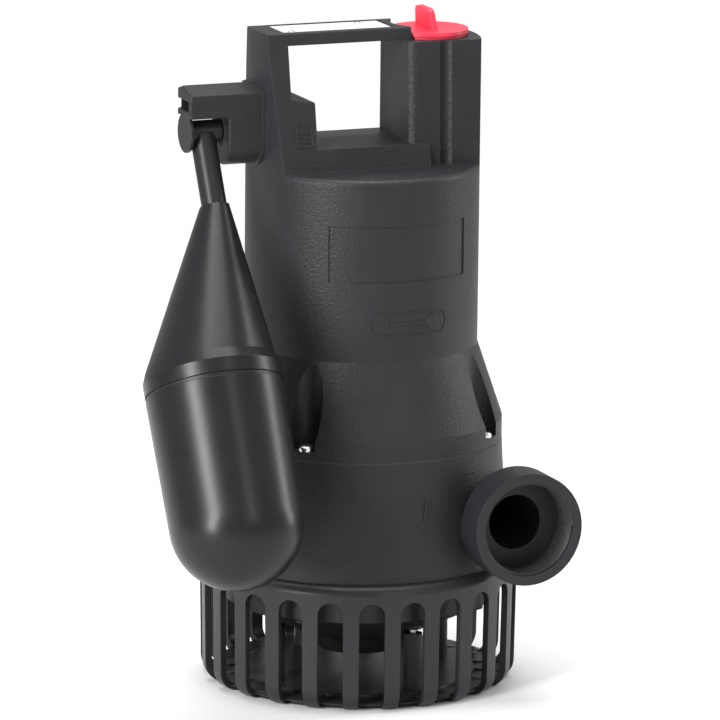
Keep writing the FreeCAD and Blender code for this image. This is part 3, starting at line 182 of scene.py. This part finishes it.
def turned_metal(name, colour, rough, stretch=(1, 1, 60), depth=0.00001, tint=0.1):
    """Bright metal with fine tool marks across one axis."""
    material, work, shader, place = start_finish(name, metal=1.0)
    marks = work.noise(place, 0.0035, 4, stretch=stretch)
    stain = work.noise(place, 0.012, 3)
    bump = work.add("ShaderNodeBump", {}, {"Strength": 0.6, "Distance": depth, "Height": marks})
    low = tuple(channel * (1 - tint) for channel in colour)
    wire(work, shader, Base_Color=work.between(stain, low, colour),
         Roughness=rough - 0.08 + 0.16 * marks, Normal=bump)
    return material


def layered_metal(name, colour, rough, pitch):
    """A stack of sheets: a thin dark line between one sheet and the next."""
    material, work, shader, place = start_finish(name, metal=0.9)
    height = work.add("ShaderNodeSeparateXYZ", {}, {0: place}, out=2)
    joint = (height / pitch).fraction().under(JOINT_SHARE)
    stain = work.noise(place, 0.01, 3)
    dark = tuple(channel * 0.35 for channel in colour)
    bump = work.add("ShaderNodeBump", {}, {"Strength": 1.0, "Distance": 0.0001, "Height": 1 - joint})
    wire(work, shader, Base_Color=work.between(joint, colour, dark),
         Roughness=rough + 0.15 * stain, Normal=bump)
    return material


def wound_copper(name):
    """Enamelled wire wound round the axis."""
    material, work, shader, place = start_finish(name, metal=0.75, coat=0.4)
    reach = work.add("ShaderNodeVectorMath", {"operation": "LENGTH"}, {
        0: work.add("ShaderNodeMapping", {}, {"Vector": place, "Scale": (1, 1, 0)})}, out=1)
    height = work.add("ShaderNodeSeparateXYZ", {}, {0: place}, out=2)
    wave = (reach * WIRE_TURNS).sine() * 0.5 + (height * WIRE_TURNS).sine() * 0.5
    bump = work.add("ShaderNodeBump", {}, {"Strength": 0.8, "Distance": 0.0002, "Height": wave})
    stain = work.noise(place, 0.006, 3)
    wire(work, shader, Base_Color=work.between(stain, (0.42, 0.13, 0.04), (0.68, 0.28, 0.10)),
         Roughness=0.3 + 0.15 * stain, Normal=bump)
    return material


def rubber(name, colour):
    material, work, shader, place = start_finish(name)
    speck = work.noise(place, 0.0005, 3)
    bump = work.add("ShaderNodeBump", {}, {"Strength": 0.5, "Distance": 0.00006, "Height": speck})
    high = tuple(channel * 1.7 for channel in colour)
    wire(work, shader, Base_Color=work.between(speck, colour, high), Roughness=0.7 + 0.15 * speck,
         Normal=bump)
    return material


def cast_iron(name, colour):
    material, work, shader, place = start_finish(name, metal=0.7)
    lumps = work.noise(place, 0.0016, 6)
    bump = work.add("ShaderNodeBump", {}, {"Strength": 1.0, "Distance": 0.0004, "Height": lumps})
    low = tuple(channel * 0.6 for channel in colour)
    wire(work, shader, Base_Color=work.between(lumps, low, colour), Roughness=0.5 + 0.3 * lumps, Normal=bump)
    return material


CHARCOAL = (0.0160, 0.0166, 0.0192)
finishes = {
    "housing_plastic": moulded("charcoal grained moulding", CHARCOAL, 0.47, 0.0011, 0.00026, mottle=0.45),
    "basket_plastic": moulded("charcoal satin moulding", (0.0185, 0.0190, 0.0215), 0.36, 0.0012, 0.00006,
                              mottle=0.25),
    "float_plastic": moulded("black satin moulding", (0.0085, 0.0090, 0.0105), 0.30, 0.0012, 0.000012,
                             edge=0.0004, mottle=0.08),
    "lever_plastic": moulded("black moulding", (0.0130, 0.0135, 0.0150), 0.36, 0.0010, 0.00003),
    "cap_plastic": moulded("coral red moulding", (0.74, 0.040, 0.075), 0.38, 0.0008, 0.00001, mottle=0.04,
                           edge=0.0007),
    "inner_plastic": moulded("black glass-filled moulding", (0.045, 0.045, 0.048), 0.55, 0.0006, 0.00006),
    "impeller_plastic": moulded("dark glass-filled moulding", (0.075, 0.075, 0.080), 0.5, 0.0006, 0.00006),
    "capacitor_plastic": moulded("white can moulding", (0.72, 0.72, 0.70), 0.3, 0.001, 0.00001, mottle=0.03),
    "switch_plastic": moulded("dark switch moulding", (0.09, 0.09, 0.095), 0.45, 0.0006, 0.00003),
    "plunger_plastic": moulded("pale plunger moulding", (0.55, 0.55, 0.52), 0.3, 0.0008, 0.00001, mottle=0.05),
    "seal_ceramic": moulded("lapped ceramic", (0.80, 0.78, 0.72), 0.15, 0.002, 0.000004, mottle=0.03, coat=0.3),
    "seal_carbon": moulded("lapped carbon", (0.035, 0.035, 0.036), 0.3, 0.0004, 0.00001),
    "screw_steel": turned_metal("bright stainless", (0.74, 0.73, 0.70), 0.22, stretch=(1, 1, 1)),
    "shaft_steel": turned_metal("ground stainless", (0.64, 0.64, 0.64), 0.26),
    "bearing_steel": turned_metal("polished bearing steel", (0.72, 0.72, 0.73), 0.12, depth=0.000004),
    "can_steel": turned_metal("drawn stainless sheet", (0.58, 0.58, 0.58), 0.34, stretch=(1, 1, 8)),
    "rotor_aluminium": turned_metal("cast aluminium", (0.72, 0.73, 0.74), 0.42, stretch=(1, 1, 1),
                                    depth=0.00006),
    "contact_brass": turned_metal("plain brass", (0.74, 0.56, 0.26), 0.28, stretch=(1, 1, 1)),
    "plate_aluminium": turned_metal("brushed plate", (0.90, 0.91, 0.92), 0.38, stretch=(0.05, 1, 1),
                                    tint=0.03),
    "lamination_steel": layered_metal("stacked electrical steel", (0.36, 0.36, 0.37), 0.4, 0.0005),
    "winding_copper": wound_copper("enamelled copper wire"),
    "seal_rubber": rubber("nitrile rubber", (0.018, 0.018, 0.018)),
    "ballast_iron": cast_iron("rough iron", (0.22, 0.22, 0.22)),
}
plate_white = moulded("white plate print", (0.62, 0.63, 0.67), 0.36, 0.001, 0.000004, edge=0.0002, mottle=0.02)
plate_ink = moulded("dark plate print", (0.05, 0.05, 0.055), 0.5, 0.001, 0.000004, edge=0.0001)

slots = {part["node"]: part["material_slot"] for part in frame["record"]["subparts"]}
for node, item in frame["nodes"].items():
    for place in item.material_slots:
        place.material = finishes[slots[node]]
for place in frame["nodes"]["type_plate"].material_slots:
    place.material = plate_white


# ---------------------------------------------------------------- making pieces

def body_with(node):
    for body, item in frame["bodies"].items():
        if frame["nodes"][node] in item.children_recursive:
            return body
    raise SystemExit("no body carries " + node)


def piece(name, mesh, node, finish=None, stands_for=False):
    """A finished piece: it moves with the node's body and takes the node's finish."""
    item = bpy.data.objects.new(name, mesh)
    bpy.context.scene.collection.objects.link(item)
    if finish is not None or not mesh.materials:
        mesh.materials.clear()
        mesh.materials.append(finish or finishes[slots[node]])
    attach(item, body_with(node))
    if stands_for:
        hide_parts(node)
    return item


def lumps(node):
    """The separate solids of a node: lowest and highest corner of each, from its merged mesh."""
    shape = bmesh.new()
    shape.from_mesh(frame["nodes"][node].data)
    bmesh.ops.remove_doubles(shape, verts=shape.verts, dist=1e-6)
    found, seen = [], set()
    for start in shape.verts:
        if start in seen:
            continue
        stack, group = [start], []
        seen.add(start)
        while stack:
            vert = stack.pop()
            group.append(vert.co.copy())
            for edge in vert.link_edges:
                other = edge.other_vert(vert)
                if other not in seen:
                    seen.add(other)
                    stack.append(other)
        low = Vector(min(spot[axis] for spot in group) for axis in range(3))
        high = Vector(max(spot[axis] for spot in group) for axis in range(3))
        found.append((low, high))
    shape.free()
    return found


def new_tree(name, **inputs):
    """An empty geometry tree whose inputs are named, and the links that carry them."""
    tree = bpy.data.node_groups.new(name, "GeometryNodeTree")
    tree.interface.new_socket("Geometry", in_out="INPUT", socket_type="NodeSocketGeometry")
    for label, kind in inputs.items():
        tree.interface.new_socket(label.replace("_", " "), in_out="INPUT", socket_type="NodeSocket" + kind)
    tree.interface.new_socket("Geometry", in_out="OUTPUT", socket_type="NodeSocketGeometry")
    work = Work(tree)
    source = tree.nodes.new("NodeGroupInput")
    given = {socket.name: Link(work, socket) for socket in source.outputs if socket.name}
    return work, given


def end_tree(work, shape, material):
    """Closes a tree: the instances are made real and take their material."""
    real = work.add("GeometryNodeRealizeInstances", {}, {0: shape})
    done = work.add("GeometryNodeSetMaterial", {}, {"Geometry": real, "Material": material})
    end = work.tree.nodes.new("NodeGroupOutput")
    work.tree.links.new(done.socket, end.inputs[0])
    return work.tree


def grown(name, tree, points, **values):
    """The mesh that a tree makes from some points, with its named inputs set."""
    mesh = bpy.data.meshes.new(name)
    mesh.from_pydata([tuple(point) for point in points], [], [])
    carrier = bpy.data.objects.new(name + " carrier", mesh)
    bpy.context.scene.collection.objects.link(carrier)
    modifier = carrier.modifiers.new("tree", "NODES")
    modifier.node_group = tree
    for socket in tree.interface.items_tree:
        if socket.in_out == "INPUT" and socket.name.replace(" ", "_") in values:
            modifier[socket.identifier] = values[socket.name.replace(" ", "_")]
    view = carrier.evaluated_get(bpy.context.evaluated_depsgraph_get())
    made = bpy.data.meshes.new_from_object(view)
    bpy.data.objects.remove(carrier)
    made.shade_smooth()
    made.set_sharp_from_angle(angle=math.radians(38))
    return made


def solid(work, kind, **sockets):
    """A simple solid from one of the mesh nodes."""
    return work.add(kind, {}, {key.replace("_", " "): value for key, value in sockets.items()})


def shifted(work, shape, move=(0, 0, 0), turn=(0, 0, 0), scale=(1, 1, 1)):
    return work.add("GeometryNodeTransform", {}, {
        "Geometry": shape, "Translation": move, "Rotation": turn, "Scale": scale})


def joined(work, operation, first, second):
    """Mesh solids added together or cut from the first one."""
    if operation == "UNION":
        return work.add("GeometryNodeMeshBoolean", {"operation": operation}, {"Mesh 2": [first, second]})
    return work.add("GeometryNodeMeshBoolean", {"operation": operation}, {"Mesh 1": first, "Mesh 2": second})


def vector(work, x=0.0, y=0.0, z=0.0):
    return work.add("ShaderNodeCombineXYZ", {}, {0: x, 1: y, 2: z})


def pan_screw_tree():
    """A cross-head screw on each point: head with a domed top, shank below the seat."""
    work, given = new_tree("cross-head screws", Head_radius="Float", Head_height="Float",
                           Shank_radius="Float", Shank_length="Float", Turn="Vector", Steel="Material")
    radius, height = given["Head radius"], given["Head height"]
    side = solid(work, "GeometryNodeMeshCylinder", Vertices=40, Radius=radius, Depth=height * 0.45)
    side = shifted(work, side, vector(work, z=height * 0.225))
    dome = solid(work, "GeometryNodeMeshUVSphere", Segments=40, Rings=20, Radius=1.0)
    dome = shifted(work, dome, vector(work, z=height * 0.44), scale=vector(
        work, radius * 0.985, radius * 0.985, height * 0.56))
    head = joined(work, "UNION", side, dome)
    below = solid(work, "GeometryNodeMeshCube", Size=vector(work, radius * 3, radius * 3, height * 2))
    head = joined(work, "DIFFERENCE", head, shifted(work, below, vector(work, z=height * -0.98)))
    for long_way in (0, math.pi / 2):
        blade = solid(work, "GeometryNodeMeshCube", Size=vector(work, radius * 1.15, radius * 0.24, height))
        blade = shifted(work, blade, vector(work, z=height * 1.02), turn=(0, 0, long_way))
        head = joined(work, "DIFFERENCE", head, blade)
    shank = solid(work, "GeometryNodeMeshCylinder", Vertices=24, Radius=given["Shank radius"],
                  Depth=given["Shank length"])
    shank = shifted(work, shank, vector(work, z=given["Shank length"] * -0.5 + height * 0.1))
    screw = joined(work, "UNION", head, shank)
    spread = work.add("GeometryNodeInstanceOnPoints", {}, {
        "Points": given["Geometry"], "Instance": screw, "Rotation": given["Turn"]})
    return end_tree(work, spread, given["Steel"])


def rivet_tree():
    """A domed rivet on each point."""
    work, given = new_tree("domed rivets", Head_radius="Float", Head_height="Float",
                           Shank_radius="Float", Shank_length="Float", Metal="Material")
    radius, height = given["Head radius"], given["Head height"]
    dome = solid(work, "GeometryNodeMeshUVSphere", Segments=36, Rings=18, Radius=1.0)
    dome = shifted(work, dome, scale=vector(work, radius, radius, height))
    below = solid(work, "GeometryNodeMeshCube", Size=vector(work, radius * 3, radius * 3, height * 2))
    dome = joined(work, "DIFFERENCE", dome, shifted(work, below, vector(work, z=height * -1.0)))
    shank = solid(work, "GeometryNodeMeshCylinder", Vertices=24, Radius=given["Shank radius"],
                  Depth=given["Shank length"])
    shank = shifted(work, shank, vector(work, z=given["Shank length"] * -0.5 + height * 0.2))
    rivet = joined(work, "UNION", dome, shank)
    spread = work.add("GeometryNodeInstanceOnPoints", {}, {"Points": given["Geometry"], "Instance": rivet})
    return end_tree(work, spread, given["Metal"])


def grip_rib_tree():
    """Level ribs one above another between two places, on one face of a tab."""
    work, given = new_tree("grip ribs", Count="Int", Foot="Vector", Top="Vector", Length="Float",
                           Thickness="Float", Plastic="Material")
    line = work.add("GeometryNodeMeshLine", {"mode": "END_POINTS"}, {
        "Count": given["Count"], "Start Location": given["Foot"], "Offset": given["Top"]})
    rib = solid(work, "GeometryNodeMeshCylinder", Vertices=16, Radius=given["Thickness"], Depth=given["Length"])
    spread = work.add("GeometryNodeInstanceOnPoints", {}, {
        "Points": line, "Instance": rib, "Rotation": (math.pi / 2, 0, 0)})
    return end_tree(work, spread, given["Plastic"])


def thread_tree():
    """An internal thread: a pointed ridge wound inside a bore along -Y."""
    work, given = new_tree("internal thread", Radius="Float", Turns="Float", Length="Float",
                           Depth="Float", Mouth="Vector", Plastic="Material")
    coil = work.add("GeometryNodeCurveSpiral", {}, {
        "Resolution": 64, "Rotations": given["Turns"], "Start Radius": given["Radius"],
        "End Radius": given["Radius"], "Height": given["Length"], "Reverse": False})
    ridge = work.add("GeometryNodeCurvePrimitiveCircle", {}, {"Resolution": 4, "Radius": given["Depth"]})
    wound = work.add("GeometryNodeCurveToMesh", {}, {"Curve": coil, "Profile Curve": ridge, "Fill Caps": True})
    laid = shifted(work, wound, given["Mouth"], turn=(-math.pi / 2, 0, 0))
    return end_tree(work, laid, given["Plastic"])


# ---------------------------------------------------------------- screws and rivets

def add_screws():
    tree = pan_screw_tree()
    for node, up in (("housing_screws", True), ("strainer_screws", False), ("inlet_screws", False)):
        solids = lumps(node)
        low, high = solids[0]
        radius = (high.x - low.x) / 2
        head = 0.0030 if node != "strainer_screws" else 0.0022
        seats = [Vector(((a.x + b.x) / 2, (a.y + b.y) / 2, b.z - head if up else a.z + head))
                 for a, b in solids]
        mesh = grown(node + "_turned", tree, seats, Head_radius=radius, Head_height=head,
                     Shank_radius=radius * 0.51, Shank_length=high.z - low.z - head,
                     Turn=(0.0 if up else math.pi, 0.0, 0.0), Steel=finishes["screw_steel"])
        piece(node + "_turned", mesh, node, stands_for=True)


def add_rivets():
    solids = lumps("plate_rivets")
    low, high = solids[0]
    head = 0.0006
    seats = [Vector(((a.x + b.x) / 2, (a.y + b.y) / 2, b.z - head)) for a, b in solids]
    mesh = grown("plate_rivets_domed", rivet_tree(), seats, Head_radius=(high.x - low.x) / 2, Head_height=head,
                 Shank_radius=0.00095, Shank_length=high.z - low.z - head, Metal=finishes["screw_steel"])
    piece("plate_rivets_domed", mesh, "plate_rivets", stands_for=True)


# ---------------------------------------------------------------- raised marks

def ribbon(path, width, close=True):
    """The two edges of a flat ribbon of one width along a path of points."""
    count = len(path)
    left, right = [], []
    for step, point in enumerate(path):
        before = path[step - 1] if close or step else point
        after = path[(step + 1) % count] if close or step < count - 1 else point
        way = (Vector(after) - Vector(before)).normalized()
        across = Vector((-way.y, way.x)) * width / 2
        left.append(Vector(point) + across)
        right.append(Vector(point) - across)
    return left, right


def raised(strips, fills, lay):
    """A mesh of flat ribbons and filled shapes, each with a top face and sides, laid on a surface.
    lay(x, y, lift) gives the place of a flat point at a height over the surface."""
    shape = bmesh.new()
    for left, right, close in strips:
        rings = [[shape.verts.new(lay(spot.x, spot.y, lift)) for spot in side]
                 for side, lift in ((left, 0), (left, 1), (right, 1), (right, 0))]
        count = len(left)
        for step in range(count if close else count - 1):
            after = (step + 1) % count
            for one, two in ((0, 1), (1, 2), (2, 3)):
                shape.faces.new((rings[one][step], rings[one][after], rings[two][after], rings[two][step]))
    for outline in fills:
        top = [shape.verts.new(lay(spot.x, spot.y, 1)) for spot in outline]
        foot = [shape.verts.new(lay(spot.x, spot.y, 0)) for spot in outline]
        shape.faces.new(top)
        for step in range(len(top)):
            after = (step + 1) % len(top)
            shape.faces.new((top[step], top[after], foot[after], foot[step]))
    bmesh.ops.recalc_face_normals(shape, faces=shape.faces)
    mesh = bpy.data.meshes.new("raised mark")
    shape.to_mesh(mesh)
    shape.free()
    mesh.shade_smooth()
    mesh.set_sharp_from_angle(angle=math.radians(35))
    return mesh


def rounded_box(left, low, right, high, corner, steps=6):
    """A rectangle with round corners, walked anticlockwise, with its long sides divided."""
    points = []
    for x, y, start in ((right - corner, high - corner, 0), (left + corner, high - corner, 90),
                        (left + corner, low + corner, 180), (right - corner, low + corner, 270)):
        for step in range(steps + 1):
            angle = math.radians(start + 90 * step / steps)
            points.append(Vector((x + corner * math.cos(angle), y + corner * math.sin(angle))))
    return divided(points)


def divided(points, longest=0.003):
    """The same closed path with no step longer than a given length."""
    out = []
    for step, point in enumerate(points):
        after = points[(step + 1) % len(points)]
        parts = max(1, math.ceil((after - point).length / longest))
        out += [point.lerp(after, part / parts) for part in range(parts)]
    return out


def round_barrel(radius, height, proud):
    """Lays flat points round the barrel, starting from its front line."""
    def lay(x, y, lift):
        angle = x / radius
        reach = radius - 0.0003 + lift * (proud + 0.0003)
        return Vector((reach * math.sin(angle), -reach * math.cos(angle), height + y))
    return lay


def add_flow_mark():
    """The direction mark on the barrel: a rounded frame round a bulb, with an arrow that leads away."""
    barrel = 0.052
    frame_path = rounded_box(-0.0155, -0.0050, 0.0215, 0.0050, 0.0046)
    left, right = ribbon(frame_path, 0.0007)
    bulb = [Vector((0.0138 + 0.0034 * math.cos(math.radians(turn)), 0.0034 * math.sin(math.radians(turn))))
            for turn in range(0, 360, 12)]
    stem = divided([Vector((-0.0080, -0.0007)), Vector((0.0106, -0.0007)), Vector((0.0106, 0.0007)),
                    Vector((-0.0080, 0.0007))])
    head = [Vector((-0.0125, 0)), Vector((-0.0075, -0.0030)), Vector((-0.0075, 0.0030))]
    mesh = raised([(left, right, True)], [bulb, stem, head], round_barrel(barrel, 0.171, 0.00022))
    piece("barrel_flow_mark", mesh, "motor_housing")


def add_tick():
    """A small raised check on the front of the pump chamber."""
    path = [Vector((0.0010, 0.0)), Vector((0.0045, -0.0030)), Vector((0.0062, 0.0100))]
    left, right = ribbon(path, 0.0012, close=False)
    mesh = raised([(left, right, False)], [], round_barrel(0.0652, 0.0835, 0.0003))
    piece("chamber_tick", mesh, "volute_casing")


def add_column_mark():
    """A small generic moulding mark on the front of the handle's left column."""
    foot_z, top_z, foot_y, top_y = 0.235, 0.296, 0.0240, 0.0122
    def lay(x, y, lift):
        share = (y - foot_z) / (top_z - foot_z)
        depth = foot_y + (top_y - foot_y) * share
        return Vector((x, -(depth - 0.0002 + lift * 0.0005), y))
    outline = rounded_box(-0.0395, 0.2465, -0.0325, 0.2560, 0.0006, steps=3)
    left, right = ribbon(outline, 0.0005)
    bars = [[Vector((-0.0385, low)), Vector((-0.0335, low)), Vector((-0.0335, low + 0.0006)),
             Vector((-0.0385, low + 0.0006))] for low in (0.2482, 0.2502, 0.2522)]
    mesh = raised([(left, right, True)], bars, lay)
    piece("column_moulding_mark", mesh, "motor_housing")


def add_plate_print():
    """The plate's dark border, and thin rules that stand for its printed boxes."""
    low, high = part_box("type_plate")
    low, high = Vector(low), Vector(high)
    def lay(x, y, lift):
        return Vector((x, y, high.z - 0.0001 + lift * 0.00022))
    inset = 0.0004
    outline = rounded_box(low.x + inset, low.y + inset, high.x - inset, high.y - inset, 0.0008, 3)
    left, right = ribbon(outline, 0.0007)
    middle, depth = (low.x + high.x) / 2, high.y - low.y
    rules = []
    for share in (0.30, 0.5, 0.70):
        y = low.y + depth * share
        rules.append([Vector((low.x + 0.010, y)), Vector((high.x - 0.014, y)),
                      Vector((high.x - 0.014, y + 0.00018)), Vector((low.x + 0.010, y + 0.00018))])
    for x in (middle - 0.008, middle + 0.006):
        rules.append([Vector((x, low.y + depth * 0.30)), Vector((x + 0.00018, low.y + depth * 0.30)),
                      Vector((x + 0.00018, low.y + depth * 0.70)), Vector((x, low.y + depth * 0.70))])
    piece("type_plate_rules", raised([], rules, lay), "type_plate", finishes["capacitor_plastic"])
    piece("type_plate_border", raised([(left, right, True)], [], lay), "type_plate", plate_ink)


# ---------------------------------------------------------------- cap, outlet and seams

def add_grip_ribs():
    """Six level ribs on each face of the cap's tab, which leans as it rises."""
    tree = grip_rib_tree()
    low, high = (Vector(corner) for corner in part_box("socket_cap"))
    lean, half, tab_x = math.radians(7.3), 0.0013, 0.030
    foot_z = high.z - 0.0094
    for label, way in (("inner", -1), ("outer", 1)):
        def spot(up):
            return (tab_x - math.sin(lean) * up + way * half * math.cos(lean), 0.0,
                    foot_z + math.cos(lean) * up + way * half * math.sin(lean))
        mesh = grown("cap_tab_ribs_" + label, tree, [(0, 0, 0)], Count=6, Foot=spot(0.0018), Top=spot(0.0072),
                     Length=0.0130, Thickness=0.00032, Plastic=finishes["cap_plastic"])
        piece("cap_tab_ribs_" + label, mesh, "socket_cap")


def add_outlet_thread():
    pitch, length = 0.002309, 0.0150
    mesh = grown("outlet_thread", thread_tree(), [(0, 0, 0)], Radius=0.0209, Turns=length / pitch,
                 Length=length, Depth=0.0011, Mouth=(0.0497, -0.0772, 0.080), Plastic=finishes["housing_plastic"])
    shape = bmesh.new()
    shape.from_mesh(mesh)
    bmesh.ops.recalc_face_normals(shape, faces=shape.faces)
    shape.to_mesh(mesh)
    shape.free()
    piece("outlet_thread", mesh, "volute_casing")


def lathe(profile, steps=144):
    """A closed ring turned round a vertical axis from a closed profile of radius and height."""
    shape = bmesh.new()
    rings = []
    for step in range(steps):
        angle = 2 * math.pi * step / steps
        rings.append([shape.verts.new((radius * math.cos(angle), radius * math.sin(angle), height))
                      for radius, height in profile])
    for step, ring in enumerate(rings):
        after = rings[(step + 1) % steps]
        for one in range(len(profile)):
            two = (one + 1) % len(profile)
            shape.faces.new((ring[one], after[one], after[two], ring[two]))
    bmesh.ops.recalc_face_normals(shape, faces=shape.faces)
    mesh = bpy.data.meshes.new("turned ring")
    shape.to_mesh(mesh)
    shape.free()
    mesh.shade_smooth()
    mesh.set_sharp_from_angle(angle=math.radians(40))
    return mesh


def add_seam_shadow():
    """A thin dark ring in the joint between the housing and the pump chamber: painted shade that stands for the
    shadowed seam line.
    """
    low, high = (Vector(corner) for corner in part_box("volute_casing"))
    radius, height = 0.0635, high.z
    mesh = lathe([(radius - 0.0012, height - 0.00035), (radius + 0.00006, height - 0.00035),
                  (radius + 0.00006, height + 0.00035), (radius - 0.0012, height + 0.00035)])
    # The ring is painted shade for the seam, drawn in dark rubber.
    piece("joint_bead", mesh, "volute_casing", finishes["seal_rubber"])


add_screws()
add_rivets()
add_flow_mark()
add_tick()
add_column_mark()
add_plate_print()
add_grip_ribs()
add_outlet_thread()
add_seam_shadow()


# ---------------------------------------------------------------- floor, light and camera

def add_floor():
    mesh = bpy.data.meshes.new("floor")
    wide = 0.8
    corners = [(-wide, -wide, 0), (wide, -wide, 0), (wide, wide, 0), (-wide, wide, 0)]
    mesh.from_pydata(corners, [], [(0, 1, 2, 3)])
    material, work, shader, place = start_finish("pale paper")
    tone = work.noise(place, 0.4, 2)
    wire(work, shader, Base_Color=work.between(tone, (0.74, 0.74, 0.74), (0.77, 0.77, 0.77)), Roughness=0.85)
    mesh.materials.append(material)
    floor = bpy.data.objects.new("floor", mesh)
    bpy.context.scene.collection.objects.link(floor)


def add_lamp(name, spot, aim, width, height, energy):
    lamp = bpy.data.lights.new(name, "AREA")
    lamp.shape, lamp.size, lamp.size_y, lamp.energy = "RECTANGLE", width, height, energy
    item = bpy.data.objects.new(name, lamp)
    bpy.context.scene.collection.objects.link(item)
    item.location = spot
    item.rotation_euler = (Vector(aim) - Vector(spot)).to_track_quat("-Z", "Y").to_euler()


def add_light():
    world = bpy.data.worlds.new("studio")
    bpy.context.scene.world = world
    world.use_nodes = True
    room = Work(world.node_tree)
    seen = room.add("ShaderNodeLightPath")
    backdrop = world.node_tree.nodes["Background"]
    backdrop.inputs[0].default_value = (1, 1, 1, 1)
    room.tree.links.new((seen * 0.52 + 0.50).socket, backdrop.inputs[1])
    add_lamp("left softbox", (-1.7, -0.9, 0.8), (0, 0, 0.16), 0.45, 1.6, 54)
    add_lamp("front softbox", (0.25, -2.0, 1.2), (0, 0, 0.15), 0.4, 1.2, 5)
    add_lamp("right strip", (1.6, -0.2, 0.7), (0, 0, 0.15), 0.3, 1.5, 14)
    add_lamp("top softbox", (0, 0.2, 1.8), (0, 0, 0.15), 1.2, 1.2, 30)


def add_camera():
    data = bpy.data.cameras.new("camera")
    data.sensor_width, data.lens = 36.0, 345.375
    data.clip_start, data.clip_end = 0.5, 20.0
    camera = bpy.data.objects.new("camera", data)
    bpy.context.scene.collection.objects.link(camera)
    swing, distance, height, aim, roll = math.radians(-21.9), 3.0138, 0.7892, 0.1443, math.radians(0.6)
    side = Vector((math.cos(swing), math.sin(swing), 0))
    away = Vector((-math.sin(swing), math.cos(swing), 0))
    spot = side * -0.0002 - away * distance + Vector((0, 0, height))
    ahead = (side * -0.0002 + Vector((0, 0, aim)) - spot).normalized()
    level = ahead.cross(Vector((0, 0, 1))).normalized()
    upright = level.cross(ahead)
    right = level * math.cos(roll) + upright * math.sin(roll)
    up = upright * math.cos(roll) - level * math.sin(roll)
    camera.matrix_world = Matrix.Translation(spot) @ Matrix((right, up, -ahead)).transposed().to_4x4()
    bpy.context.scene.camera = camera
    bpy.context.scene.view_settings.view_transform = "Standard"


add_floor()
add_light()
add_camera()
